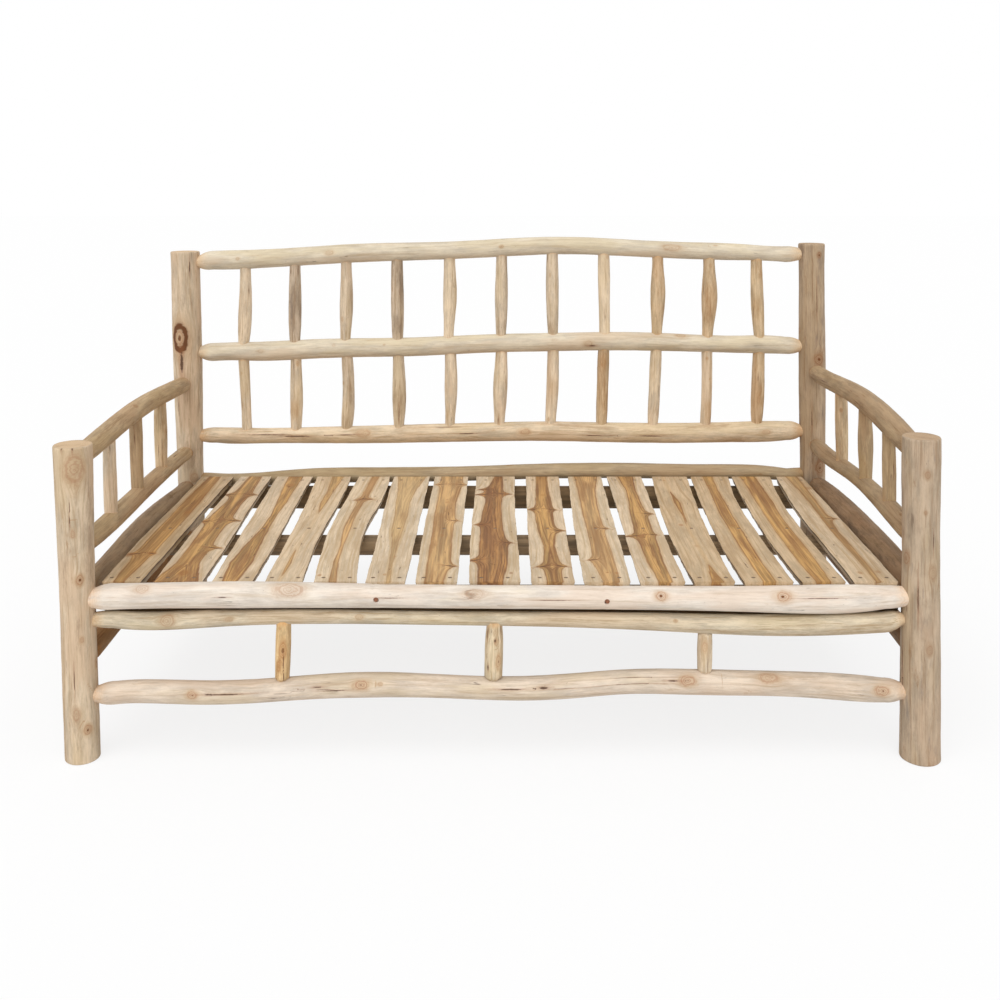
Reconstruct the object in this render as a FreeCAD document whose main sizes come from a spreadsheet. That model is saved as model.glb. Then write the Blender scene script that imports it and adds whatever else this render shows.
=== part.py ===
"""Rustic log bench: a daybed-sized seat of peeled teak branches, drawn at its real size in millimetres.

Frame: +X runs to the sitter's left-hand post as seen from the front, +Y to the back, +Z up.
The origin lies on the floor, midway between the four posts.

Every branch is a smooth loft through evenly spaced round rings. Its ends are drawn in to a stub
that sits in a round socket of the piece that carries it. The slats are sawn boards with natural
wavy edges, screwed down on bearers whose tops are planed flat.
"""

import FreeCAD, Part
import Sketcher
import os
from dataclasses import dataclass, field

# Driving sizes in millimetres. Each one is written once, here, and goes into the sheet.
SIZES = {
    # Posts: spacing of the feet, heights, thickness, and how far each top leans to +X
    "post_spacing": 1917,
    "post_depth": 910,
    "front_left_post_height": 733,
    "front_right_post_height": 751,
    "back_left_post_height": 1096,
    "back_right_post_height": 1119,
    "post_diameter": 84,
    "front_left_lean": 8,
    "front_right_lean": -29,
    "back_left_lean": 8,
    "back_right_lean": -42,
    "back_left_foot_shift": 7,
    "back_right_foot_shift": 9,
    "post_end_round": 4,
    # Seat: top of the slats, and the level of each rail end against it
    "seat_height": 412,
    "seat_log_diameter": 55,
    "seat_log_left_level": -33,
    "seat_log_right_level": -29.5,
    "seat_log_end_diameter": 46,
    "seat_log_flat_depth": 3,
    "seat_back_diameter": 47,
    "seat_back_left_level": -12,
    "seat_back_right_level": 4,
    "seat_back_end_diameter": 34,
    "side_rail_diameter": 66,
    "left_side_level": -29,
    "right_side_level": -24,
    "side_end_diameter": 36,
    # Bearers under the slats
    "middle_bearer_diameter": 52,
    "middle_bearer_place": -63,
    "rear_bearer_diameter": 68,
    "rear_bearer_inset": 63,
    "bearer_end_diameter": 24,
    "bearer_left_end_level": -38,
    "bearer_right_end_level": -32,
    "bearer_flat_depth": 3,
    "ledger_thickness": 28,
    "ledger_height": 60,
    "ledger_end_gap": 12,
    # Slats
    "slat_width": 100,
    "slat_thickness": 22,
    "slat_side_gap": 10.5,
    "slat_end_gap": 2,
    "slat_rebate_set_back": 11,
    # Rails below the seat
    "front_rail_diameter": 40,
    "front_rail_gap": 5,
    "front_rail_end_diameter": 28,
    "stretcher_diameter": 54,
    "stretcher_left_height": 152,
    "stretcher_right_height": 160,
    "low_side_rail_diameter": 54,
    "low_side_left_height": 229,
    "low_side_right_height": 246,
    "front_spindle_diameter": 36,
    "front_spindle_tenon_diameter": 16,
    # Back frame
    "back_top_diameter": 53,
    "back_top_drop": 32.5,
    "back_middle_diameter": 57,
    "back_low_diameter": 58,
    "back_low_left_level": 121.5,
    "back_low_right_level": 137,
    "rail_end_diameter": 38,
    "back_spindle_diameter": 33,
    # Arms
    "arm_top_diameter": 52,
    "arm_top_drop": 37,
    "left_arm_tilt": 1,
    "right_arm_tilt": 22,
    "arm_low_diameter": 46,
    "left_arm_low_level": 76,
    "right_arm_low_level": 101,
    "arm_spindle_diameter": 34,
    # Joints: reach of a stub short of a post's centre, play round it, and the gap at its shoulder
    "stub_stop": 20,
    "side_rail_stop": 6,
    "fit_play": 0.3,
    "shoulder_gap": 1,
    # Screws
    "screw_shank_diameter": 4.5,
    "screw_head_diameter": 9,
    "screw_head_height": 2.5,
    "screw_length": 42,
    "screw_sink": 0.5,
    "screw_play": 0.2,
    "log_screw_shank_diameter": 6,
    "log_screw_head_diameter": 12,
    "log_screw_head_height": 4,
    "log_screw_sink": 6,
    "log_screw_bite": 22,
}

# Share of a log's radius at which the floor of a spindle's socket lies from the log's centre line
SOCKET_FLOOR_SHARE = 0.5
# Share of a rail's radius, from its centre line, at which a front spindle's saddle and tenon end
SADDLE_REACH_SHARE = 0.25
# Share of the way from the low rail up to the top rail at which the back's middle rail lies
MIDDLE_RAIL_SHARE = 0.484
# Rounded nose of a rail: its length as a share of the rail, and the fullness of its middle ring
RAIL_NOSE_SHARE = 0.022
SIDE_NOSE_SHARE = 0.045
NOSE_FULLNESS_SHARE = 0.87
# Eased edge of a post's two sawn ends, as a share of its height
POST_EASE_SHARE = 0.006
# A slat's edges run inward to its underside, which keeps this share of the top's width
UNDERSIDE_WIDTH_SHARE = 0.84
# Screws stand this share of the slat's width either side of its middle
SCREW_SPREAD_SHARE = 0.3
# Shares of half the post spacing at which the two long screws pass through the seat log
LOG_SCREW_SHARES = (-0.294, 0.248)

doc = FreeCAD.newDocument("LogBench")


class Length:
    """A length: the text a property is bound to, and the number that it stands for now."""

    def __init__(self, text, value):
        self.text = text
        self.value = value

    @staticmethod
    def of(other):
        return other if isinstance(other, Length) else Length(f"{other:.6g}", other)

    def __add__(self, other):
        other = Length.of(other)
        return Length(f"({self.text} + {other.text})", self.value + other.value)

    def __sub__(self, other):
        other = Length.of(other)
        return Length(f"({self.text} - {other.text})", self.value - other.value)

    def __mul__(self, share):
        return Length(f"({self.text} * {share:.6g})", self.value * share)

    def __truediv__(self, share):
        return Length(f"({self.text} / {share:.6g})", self.value / share)

    def __neg__(self):
        return self * -1


def size(name):
    """Length held by the sheet's cell of this name."""
    return Length(f"Sizes.{name}", SIZES[name])


ZERO = Length("0", 0.0)


def write_sheet():
    """Spreadsheet with one named cell for each driving size."""
    sheet = doc.addObject("Spreadsheet::Sheet", "Sizes")
    for row, (name, value) in enumerate(SIZES.items(), start=1):
        sheet.set(f"A{row}", name)
        sheet.set(f"B{row}", str(value))
        sheet.setAlias(f"B{row}", name)
    doc.recompute()


write_sheet()


def bind(thing, prop, length):
    """Bind a property to a length, unless it is simply zero."""
    if length is not ZERO:
        thing.setExpression(prop, length.text)


def place(thing, point, prop=".Placement.Base"):
    """Bind the three coordinates of a placement to lengths."""
    for axis, length in zip("xyz", point):
        bind(thing, f"{prop}.{axis}", length)


def share_between(first, last, share):
    """Length that lies the given share of the way from the first to the last."""
    return first * (1 - share) + last * share


def smooth_share(shares, place_share):
    """Value of evenly spaced shares at a place from 0 to 1, on a curve through its neighbours."""
    steps = len(shares) - 1
    spot = min(max(place_share, 0.0), 1.0) * steps
    first = min(int(spot), steps - 1)
    part = spot - first
    near = [shares[min(max(first + step, 0), steps)] for step in (-1, 0, 1, 2)]
    slope_in = (near[2] - near[0]) / 2
    slope_out = (near[3] - near[1]) / 2
    lift = near[1] - near[2]
    return (near[1] + slope_in * part
            + (-3 * lift - 2 * slope_in - slope_out) * part ** 2
            + (2 * lift + slope_in + slope_out) * part ** 3)


# Plane square to a run, and where the run's two cross directions stand in a point (x, y, z)
PLANES = {"X": "YZ_Plane", "Y": "XZ_Plane", "Z": "XY_Plane"}
RUN_AXIS = {"X": 0, "Y": 1, "Z": 2}
CROSS_AXES = {"X": (1, 2), "Y": (0, 2), "Z": (0, 1)}

# Turn that points a cylinder's axis along a direction
TURNS = {
    "+X": FreeCAD.Rotation(FreeCAD.Vector(0, 1, 0), 90),
    "-X": FreeCAD.Rotation(FreeCAD.Vector(0, 1, 0), -90),
    "+Y": FreeCAD.Rotation(FreeCAD.Vector(1, 0, 0), -90),
    "-Y": FreeCAD.Rotation(FreeCAD.Vector(1, 0, 0), 90),
    "+Z": FreeCAD.Rotation(),
    "-Z": FreeCAD.Rotation(FreeCAD.Vector(1, 0, 0), 180),
}


def origin_plane(body, role):
    """The body's own plane of this role."""
    return next(item for item in body.Origin.OriginFeatures if item.Role == role)


def attached_sketch(body, name, role, offset):
    """Sketch on one of the body's planes, moved by an offset given in the plane's directions."""
    sketch = body.newObject("Sketcher::SketchObject", name)
    sketch.AttachmentSupport = (origin_plane(body, role), "")
    sketch.MapMode = "FlatFace"
    place(sketch, offset, ".AttachmentOffset.Base")
    return sketch


def draw_circle(sketch, diameter, centre=(ZERO, ZERO)):
    """Circle in a sketch with its diameter and centre bound to lengths."""
    middle = FreeCAD.Vector(centre[0].value, centre[1].value, 0)
    circle = Part.Circle(middle, FreeCAD.Vector(0, 0, 1), diameter.value / 2)
    number = sketch.addGeometry(circle, False)
    sketch.addConstraint(Sketcher.Constraint("Diameter", number, diameter.value))
    bind(sketch, f"Constraints[{sketch.ConstraintCount - 1}]", diameter)
    if centre[0] is ZERO and centre[1] is ZERO:
        sketch.addConstraint(Sketcher.Constraint("Coincident", number, 3, -1, 1))
        return
    pin_point(sketch, number, 3, centre)


def pin_point(sketch, number, point, place_in_sketch):
    """Hold a point of a sketch at two bound coordinates."""
    for kind, length in zip(("DistanceX", "DistanceY"), place_in_sketch):
        sketch.addConstraint(Sketcher.Constraint(kind, -1, 1, number, point, length.value))
        bind(sketch, f"Constraints[{sketch.ConstraintCount - 1}]", length)


@dataclass
class Log:
    """A branch from a start point to an end point, with its girth and bends as shares.

    The shares are evenly spaced between the two noses. Girth shares are of the diameter; across and
    rise shares are the centre line's offsets, also of the diameter, in the run's cross directions.
    A run along Y goes from the back to the front.
    """

    name: str
    run: str
    start: tuple
    end: tuple
    diameter: Length
    girth_shares: tuple
    rise_shares: tuple = ()
    across_shares: tuple = ()
    nose_share: float = 0.0
    end_diameter: Length = None
    end_round: Length = None
    cuts: list = field(default_factory=list)

    def __post_init__(self):
        flat = (0.0,) * len(self.girth_shares)
        self.rise_shares = self.rise_shares or flat
        self.across_shares = self.across_shares or flat

    @property
    def length(self):
        axis = RUN_AXIS[self.run]
        if self.run == "Y":
            return self.start[axis] - self.end[axis]
        return self.end[axis] - self.start[axis]

    def share_at(self, along):
        """Share of the run at which this coordinate lies."""
        first = self.start[RUN_AXIS[self.run]].value
        last = self.end[RUN_AXIS[self.run]].value
        return (along.value - first) / (last - first)

    def between_noses(self, share):
        """The same place counted from nose to nose, from 0 to 1."""
        return min(max((share - self.nose_share) / (1 - 2 * self.nose_share), 0.0), 1.0)

    def centre(self, share):
        """Centre line's point at a share of the run."""
        inner = self.between_noses(share)
        point = [share_between(first, last, share) for first, last in zip(self.start, self.end)]
        for axis, shares in zip(CROSS_AXES[self.run], (self.across_shares, self.rise_shares)):
            point[axis] = point[axis] + self.diameter * smooth_share(shares, inner)
        return tuple(point)

    def radius(self, share):
        """Radius at a share of the run."""
        return self.diameter * (smooth_share(self.girth_shares, self.between_noses(share)) / 2)

    def ring(self, body, name, share, diameter, across_share, rise_share):
        """Round ring square to the run."""
        first, second = CROSS_AXES[self.run]
        offset = (
            (self.end[first] - self.start[first]) * share + self.diameter * across_share,
            (self.end[second] - self.start[second]) * share + self.diameter * rise_share,
            self.length * share,
        )
        sketch = attached_sketch(body, name, PLANES[self.run], offset)
        draw_circle(sketch, diameter)
        return sketch

    def body(self):
        """PartDesign body: the trunk between its noses, the two noses, and nothing yet cut."""
        body = doc.addObject("PartDesign::Body", f"{self.name}_log")
        place(body, self.start)
        last = len(self.girth_shares) - 1
        reach = 1 - 2 * self.nose_share
        rings = []
        for step, girth_share in enumerate(self.girth_shares):
            share = self.nose_share + reach * step / last
            rings.append(self.ring(body, f"{self.name}_ring_{step}", share,
                                   self.diameter * girth_share,
                                   self.across_shares[step], self.rise_shares[step]))
        self.loft(body, "trunk", rings)
        if self.nose_share:
            self.nose(body, "start", 0.0, rings[0], 0)
            self.nose(body, "end", 1.0, rings[-1], last)
        return body

    def loft(self, body, part_name, rings):
        """Smooth loft through rings."""
        loft = body.newObject("PartDesign::AdditiveLoft", f"{self.name}_{part_name}")
        loft.Profile = rings[0]
        loft.Sections = rings[1:]
        loft.Ruled = False
        return loft

    def nose(self, body, side, tip, shoulder, step):
        """Rounded end from the trunk's last ring down to the tip's thickness."""
        full = self.diameter * self.girth_shares[step]
        tip_diameter = self.tip_diameter(tip == 1.0)
        middle_share = tip + (0.5 if tip == 0.0 else -0.5) * self.nose_share
        middle = self.ring(body, f"{self.name}_{side}_middle", middle_share,
                           share_between(tip_diameter, full, NOSE_FULLNESS_SHARE),
                           self.across_shares[step] * 0.6, self.rise_shares[step] * 0.6)
        tip_ring = self.ring(body, f"{self.name}_{side}_tip", tip, tip_diameter, 0.0, 0.0)
        self.loft(body, f"{side}_nose", [shoulder, middle, tip_ring])

    def tip_diameter(self, at_end):
        """Diameter of the face at one end."""
        full = self.diameter * self.girth_shares[-1 if at_end else 0]
        if self.end_round is not None:
            return full - self.end_round * 2
        return self.end_diameter if self.end_diameter is not None else full

    def stub(self, body, at_end, floor):
        """Straight stub from the end ring to a floor, which is a coordinate along the run."""
        tip_ring = f"{self.name}_{'end' if at_end else 'start'}_tip"
        if not self.nose_share:
            tip_ring = f"{self.name}_ring_{len(self.girth_shares) - 1 if at_end else 0}"
        face = (self.end if at_end else self.start)[RUN_AXIS[self.run]]
        outward = at_end if self.run != "Y" else not at_end
        pad = body.newObject("PartDesign::Pad", f"{self.name}_{'end' if at_end else 'start'}_stub")
        pad.Profile = doc.getObject(tip_ring)
        bind(pad, "Length", floor - face if outward else face - floor)
        pad.Reversed = not at_end


def cylinder(name, direction, base, diameter, height):
    """Cylinder that starts at a base point and runs along a direction."""
    tool = doc.addObject("Part::Cylinder", name)
    tool.Placement = FreeCAD.Placement(FreeCAD.Vector(), TURNS[direction])
    place(tool, base)
    bind(tool, "Radius", diameter / 2)
    bind(tool, "Height", height)
    return tool


def box(name, base, length, width, height):
    """Box with its lowest corner at a base point."""
    tool = doc.addObject("Part::Box", name)
    place(tool, base)
    bind(tool, "Length", length)
    bind(tool, "Width", width)
    bind(tool, "Height", height)
    return tool


def socket(host, guest_name, direction, floor_point, diameter, reach):
    """Add to a host a round socket with its floor at a point, open along a direction."""
    host.cuts.append(cylinder(f"{guest_name}_socket_in_{host.name}", direction, floor_point,
                              diameter + size("fit_play") * 2, reach))


NODES = {}


def keep(name, thing):
    """Make a document object the sub-part of this name."""
    thing.Label = name
    NODES[name] = thing
    return thing


def grouped(name, tools):
    """One tool, or a compound of several."""
    if len(tools) == 1:
        return tools[0]
    group = doc.addObject("Part::Compound", name)
    group.Links = tools
    return group


def cut_node(name, base, tools):
    """Sub-part made of a base less its tools, or the base alone where nothing is cut."""
    if not tools:
        return keep(name, base)
    cut = doc.addObject("Part::Cut", f"{name}_cut")
    cut.Base = base
    cut.Tool = grouped(f"{name}_tools", tools)
    return keep(name, cut)


# Posts

def define_post(side, row, foot_shift, girth_shares):
    """A post from the floor to its sawn top, leaning a little in X."""
    sign = -1 if side == "left" else 1
    depth = -1 if row == "front" else 1
    name = f"{row}_{side}_post"
    foot_x = size("post_spacing") * (sign / 2) + foot_shift
    y = size("post_depth") * (depth / 2)
    top = size(f"{name}_height")
    lean = size(f"{row}_{side}_lean")
    return Log(name, "Z", (foot_x, y, ZERO), (foot_x + lean, y, top), size("post_diameter"),
               girth_shares, nose_share=POST_EASE_SHARE, end_round=size("post_end_round"))


POSTS = {
    ("front", "left"): define_post("left", "front", ZERO, (0.94, 0.94, 0.93, 0.94, 0.98, 1.02)),
    ("front", "right"): define_post("right", "front", ZERO, (1.09, 1.06, 1.03, 0.98, 0.99, 1.0)),
    ("back", "left"): define_post("left", "back", size("back_left_foot_shift"),
                                  (0.95, 0.94, 0.93, 1.01, 1.03, 1.02)),
    ("back", "right"): define_post("right", "back", size("back_right_foot_shift"),
                                   (0.93, 0.92, 0.9, 0.95, 0.93, 0.94)),
}


def post_face(post, height, axis, direction):
    """Point just outside a post's side at a height, and the stub's floor inside the post."""
    share = post.share_at(height)
    point = list(post.centre(share))
    point[2] = height
    floor = list(point)
    point[axis] = point[axis] + (post.radius(share) + size("shoulder_gap")) * direction
    floor[axis] = floor[axis] + size("stub_stop") * direction
    return tuple(point), tuple(floor)


def rail_between_posts(name, run, posts, heights, diameter, end_diameter, girth_shares,
                       rise_shares, across_shares=()):
    """A nosed rail from one post to another, with a stub and a socket at each end."""
    axis = RUN_AXIS[run]
    inward = 1 if run == "X" else -1
    start, start_floor = post_face(posts[0], heights[0], axis, inward)
    end, end_floor = post_face(posts[1], heights[1], axis, -inward)
    nose = RAIL_NOSE_SHARE if run == "X" else SIDE_NOSE_SHARE
    rail = Log(name, run, start, end, diameter, girth_shares, rise_shares, across_shares, nose,
               end_diameter)
    for post, floor, way in ((posts[0], start_floor, inward), (posts[1], end_floor, -inward)):
        socket(post, name, f"{'+' if way > 0 else '-'}{run}", floor, end_diameter,
               size("post_diameter"))
    rail.floors = (start_floor[axis], end_floor[axis])
    return rail


def rail_body(rail):
    """Body of a rail with its two stubs."""
    body = rail.body()
    rail.stub(body, False, rail.floors[0])
    rail.stub(body, True, rail.floors[1])
    return body


def front_pair():
    return POSTS["front", "left"], POSTS["front", "right"]


def back_pair():
    return POSTS["back", "left"], POSTS["back", "right"]


def side_pair(side):
    return POSTS["back", side], POSTS["front", side]


# Rails across the front

SEAT = size("seat_height")

seat_log_heights = (SEAT + size("seat_log_left_level"), SEAT + size("seat_log_right_level"))
seat_front_log = rail_between_posts(
    "seat_front_log", "X", front_pair(), seat_log_heights,
    size("seat_log_diameter"), size("seat_log_end_diameter"),
    (1.07, 1.08, 1.01, 0.95, 0.96, 0.97, 1.09, 0.94),
    (0.06, 0.12, 0.09, 0.03, -0.01, -0.05, -0.11, -0.03))

front_rail_fall = (size("seat_log_diameter") + size("front_rail_diameter")) / 2 + size("front_rail_gap")
front_upper_rail = rail_between_posts(
    "front_upper_rail", "X", front_pair(), [height - front_rail_fall for height in seat_log_heights],
    size("front_rail_diameter"), size("front_rail_end_diameter"),
    (0.86, 0.9, 0.81, 0.78, 0.85, 1.02, 1.21, 1.17),
    (0.0, 0.09, 0.19, 0.09, 0.01, -0.16, -0.35, -0.19))

front_stretcher = rail_between_posts(
    "front_stretcher", "X", front_pair(),
    (size("stretcher_left_height"), size("stretcher_right_height")),
    size("stretcher_diameter"), size("rail_end_diameter"),
    (0.95, 0.98, 0.97, 1.0, 1.01, 0.95, 1.0, 1.0, 1.04, 1.03, 1.06, 1.0),
    (0.05, 0.06, 0.1, 0.3, 0.35, 0.23, 0.18, 0.38, 0.44, 0.37, 0.26, 0.03))

# Rails across the back

back_top_rail = rail_between_posts(
    "back_top_rail", "X", back_pair(),
    [size(f"back_{side}_post_height") - size("back_top_drop") for side in ("left", "right")],
    size("back_top_diameter"), size("rail_end_diameter"),
    (1.06, 1.065, 1.055, 1.07, 1.045, 1.02, 1.04, 1.02, 0.995, 0.96, 0.97, 0.94, 0.905),
    (0.08, 0.12, 0.25, 0.37, 0.425, 0.465, 0.57, 0.655, 0.59, 0.42, 0.27, 0.16, 0.0))

back_low_rail = rail_between_posts(
    "back_low_rail", "X", back_pair(),
    (SEAT + size("back_low_left_level"), SEAT + size("back_low_right_level")),
    size("back_low_diameter"), size("rail_end_diameter"),
    (0.81, 0.82, 0.86, 0.935, 0.96, 0.98, 1.0, 1.045, 1.055, 1.07, 1.065, 1.08, 1.0),
    (0.015, -0.04, -0.035, -0.025, 0.0, 0.035, 0.07, 0.07, 0.005, -0.06, -0.075, -0.055, 0.0))

back_middle_rail = rail_between_posts(
    "back_middle_rail", "X", back_pair(),
    [share_between(low[2], top[2], MIDDLE_RAIL_SHARE)
     for low, top in ((back_low_rail.start, back_top_rail.start), (back_low_rail.end, back_top_rail.end))],
    size("back_middle_diameter"), size("rail_end_diameter"),
    (0.98, 1.05, 1.06, 1.03, 1.025, 1.005, 1.0, 0.995, 1.0, 0.995, 0.945, 0.94, 0.93),
    (0.0, 0.01, 0.1, 0.15, 0.16, 0.235, 0.315, 0.34, 0.36, 0.325, 0.215, 0.12, 0.03))

seat_back_rail = rail_between_posts(
    "seat_back_rail", "X", back_pair(),
    (SEAT + size("seat_back_left_level"), SEAT + size("seat_back_right_level")),
    size("seat_back_diameter"), size("seat_back_end_diameter"),
    (0.84, 0.97, 0.98, 0.97, 1.0, 1.0, 0.97, 0.82),
    (-0.1, 0.05, 0.13, 0.15, 0.27, 0.27, 0.15, -0.1))

# Rails along the two sides, each from the back post to the front post


def side_rail(name, side, heights, diameter, girth_shares, rise_shares, across_shares=()):
    """Rail along one side of the bench."""
    return rail_between_posts(name, "Y", side_pair(side), heights, diameter,
                              size("side_end_diameter"), girth_shares, rise_shares, across_shares)


def arm_heights(side):
    """Heights of an arm rail's back and front ends."""
    front = size(f"front_{side}_post_height") - size("arm_top_drop")
    return front + size(f"{side}_arm_tilt"), front


SIDE_SHARES = {
    # side: (girth shares, rise shares, across shares) of each rail, from back to front
    "left": {
        "arm_top": ((0.93, 0.97, 1.0, 1.01, 0.95), (0.12, 0.29, 0.37, 0.24, 0.02), ()),
        "arm_low": ((0.95, 1.0, 1.05, 1.08, 1.02), (0.11, 0.14, 0.08, -0.03, -0.02), ()),
        "seat_side": ((0.8, 0.9, 0.98, 0.84, 0.78), (-0.06, 0.06, 0.09, 0.05, 0.03), ()),
        "low_side": ((1.0, 1.04, 1.0, 0.97, 1.0), (0.03, 0.08, 0.12, 0.08, 0.02), ()),
    },
    "right": {
        "arm_top": ((0.93, 0.98, 1.05, 1.12, 1.04), (0.02, 0.22, 0.44, 0.36, 0.02), ()),
        "arm_low": ((1.0, 0.98, 0.93, 1.04, 1.1), (0.0, 0.09, 0.3, 0.24, -0.02), ()),
        "seat_side": ((0.9, 1.03, 1.1, 1.1, 0.95), (0.03, 0.1, 0.07, 0.03, -0.03),
                      (0.02, 0.06, 0.08, 0.08, 0.04)),
        "low_side": ((1.02, 1.0, 1.03, 1.0, 0.96), (0.02, 0.06, 0.1, 0.1, 0.03), ()),
    },
}

ARM_TOPS = {}
ARM_LOWS = {}
SEAT_SIDES = {}
LOW_SIDES = {}
for side in ("left", "right"):
    shares = SIDE_SHARES[side]
    low_level = SEAT + size(f"{side}_arm_low_level")
    seat_level = SEAT + size(f"{side}_side_level")
    ARM_TOPS[side] = side_rail(f"arm_top_rail_{side}", side, arm_heights(side),
                               size("arm_top_diameter"), *shares["arm_top"])
    ARM_LOWS[side] = side_rail(f"arm_low_rail_{side}", side, (low_level, low_level),
                               size("arm_low_diameter"), *shares["arm_low"])
    SEAT_SIDES[side] = side_rail(f"seat_side_rail_{side}", side, (seat_level, seat_level),
                                 size("side_rail_diameter"), *shares["seat_side"])
    low_height = size(f"low_side_{side}_height")
    LOW_SIDES[side] = side_rail(f"low_side_rail_{side}", side, (low_height, low_height),
                                size("low_side_rail_diameter"), *shares["low_side"])

# Spindles that stand in sockets of the rails below and above them


def spindle_between(name, low, high, low_along, high_along, diameter, girth_shares, bend_share):
    """Upright spindle with a stub in each rail; the bend is the shift of its middle, across."""
    low_share = low.share_at(low_along)
    high_share = high.share_at(high_along)
    foot = list(low.centre(low_share))
    head = list(high.centre(high_share))
    foot_floor = list(foot)
    head_floor = list(head)
    foot[2] = foot[2] + low.radius(low_share) + size("shoulder_gap")
    head[2] = head[2] - high.radius(high_share) - size("shoulder_gap")
    foot_floor[2] = foot_floor[2] + low.radius(low_share) * SOCKET_FLOOR_SHARE
    head_floor[2] = head_floor[2] - high.radius(high_share) * SOCKET_FLOOR_SHARE
    bends = (0.0, bend_share * 0.7, bend_share, bend_share * 0.7, 0.0)
    spindle = Log(name, "Z", tuple(foot), tuple(head), diameter, girth_shares,
                  across_shares=bends)
    socket(low, name, "+Z", tuple(foot_floor), spindle.tip_diameter(False), low.diameter)
    socket(high, name, "-Z", tuple(head_floor), spindle.tip_diameter(True), high.diameter)
    body = spindle.body()
    spindle.stub(body, False, foot_floor[2])
    spindle.stub(body, True, head_floor[2])
    return body


# Back spindles from left to right: foot and head as shares of half the post spacing, girth shares
# from foot to head, and the bend share of the middle
UPPER_SPINDLE_SHARES = (
    (-0.809, -0.798, (1.0, 1.22, 1.22, 1.1, 1.0), 0.07),
    (-0.648, -0.643, (1.0, 1.18, 1.2, 1.1, 1.0), 0.0),
    (-0.489, -0.483, (0.98, 1.17, 1.26, 1.12, 1.0), 0.06),
    (-0.325, -0.324, (0.98, 1.17, 1.2, 1.17, 1.05), 0.0),
    (-0.165, -0.161, (0.95, 1.1, 1.27, 1.2, 1.05), 0.08),
    (0.0, 0.002, (0.93, 1.13, 1.22, 1.15, 1.03), 0.0),
    (0.163, 0.159, (0.93, 1.1, 1.17, 1.16, 1.05), -0.02),
    (0.325, 0.32, (1.0, 1.02, 1.08, 1.12, 1.05), 0.01),
    (0.489, 0.488, (0.96, 1.2, 1.38, 1.22, 1.05), 0.06),
    (0.648, 0.648, (1.0, 1.25, 1.46, 1.28, 1.08), 0.12),
    (0.811, 0.796, (1.0, 1.15, 1.2, 1.12, 1.02), -0.05),
)
LOWER_SPINDLE_SHARES = (
    (-0.806, -0.811, (0.95, 0.9, 0.93, 0.97, 1.0), 0.02),
    (-0.65, -0.646, (1.02, 1.18, 1.22, 1.12, 1.02), 0.04),
    (-0.489, -0.485, (1.05, 1.2, 1.14, 1.12, 1.05), 0.15),
    (-0.324, -0.323, (1.0, 1.25, 1.33, 1.2, 1.08), 0.04),
    (-0.162, -0.159, (0.92, 1.05, 1.2, 1.16, 1.06), 0.06),
    (-0.005, 0.001, (0.98, 1.2, 1.35, 1.25, 1.08), 0.0),
    (0.157, 0.164, (1.0, 1.1, 1.14, 1.12, 1.05), 0.06),
    (0.318, 0.323, (1.0, 1.08, 1.07, 1.1, 1.05), 0.0),
    (0.481, 0.488, (0.98, 1.1, 1.1, 1.12, 1.05), 0.02),
    (0.648, 0.648, (1.0, 1.02, 1.0, 1.01, 1.0), 0.06),
    (0.81, 0.811, (1.0, 1.22, 1.24, 1.18, 1.08), 0.01),
)


def build_back_spindles():
    """Eleven columns, each a lower and an upper spindle that share one node."""
    half = size("post_spacing") / 2
    rows = zip(LOWER_SPINDLE_SHARES, UPPER_SPINDLE_SHARES)
    for number, (lower, upper) in enumerate(rows, start=1):
        pair = []
        for level, low, high, shares in (("lower", back_low_rail, back_middle_rail, lower),
                                         ("upper", back_middle_rail, back_top_rail, upper)):
            foot_share, head_share, girth_shares, bend_share = shares
            pair.append(spindle_between(f"back_{level}_spindle_{number:02d}", low, high,
                                        half * foot_share, half * head_share,
                                        size("back_spindle_diameter"), girth_shares, bend_share))
        keep(f"back_spindle_pair_{number:02d}", grouped(f"back_spindle_column_{number:02d}", pair))


# Arm spindles from back to front: place as a share of half the post depth, and girth shares
ARM_SPINDLE_SHARES = {
    "left": (("rear", 0.382, (0.98, 1.05, 1.1, 1.08, 1.0)),
             ("middle", -0.07, (0.95, 0.98, 1.0, 1.02, 0.98)),
             ("front", -0.505, (0.95, 1.0, 0.98, 0.95, 0.92))),
    "right": (("rear", 0.335, (0.98, 1.02, 1.05, 1.05, 1.0)),
              ("middle", -0.13, (0.95, 1.08, 1.15, 1.08, 0.98)),
              ("front", -0.53, (1.0, 1.02, 1.02, 0.98, 0.95))),
}


def build_arm_spindles():
    """Three spindles in each arm."""
    half = size("post_depth") / 2
    for side, spindles in ARM_SPINDLE_SHARES.items():
        for row, place_share, girth_shares in spindles:
            name = f"arm_spindle_{side}_{row}"
            along = half * place_share
            keep(name, spindle_between(name, ARM_LOWS[side], ARM_TOPS[side], along, along,
                                       size("arm_spindle_diameter"), girth_shares, 0.0))


# Front spindles from left to right: foot and head as shares of half the post spacing, girth shares
FRONT_SPINDLE_SHARES = (
    ("left", -0.52, -0.512, (0.9, 0.95, 0.99, 0.98, 0.86)),
    ("middle", -0.02, -0.016, (1.12, 1.16, 1.17, 1.12, 0.86)),
    ("right", 0.481, 0.48, (0.9, 0.94, 0.98, 0.96, 0.86)),
)


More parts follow.
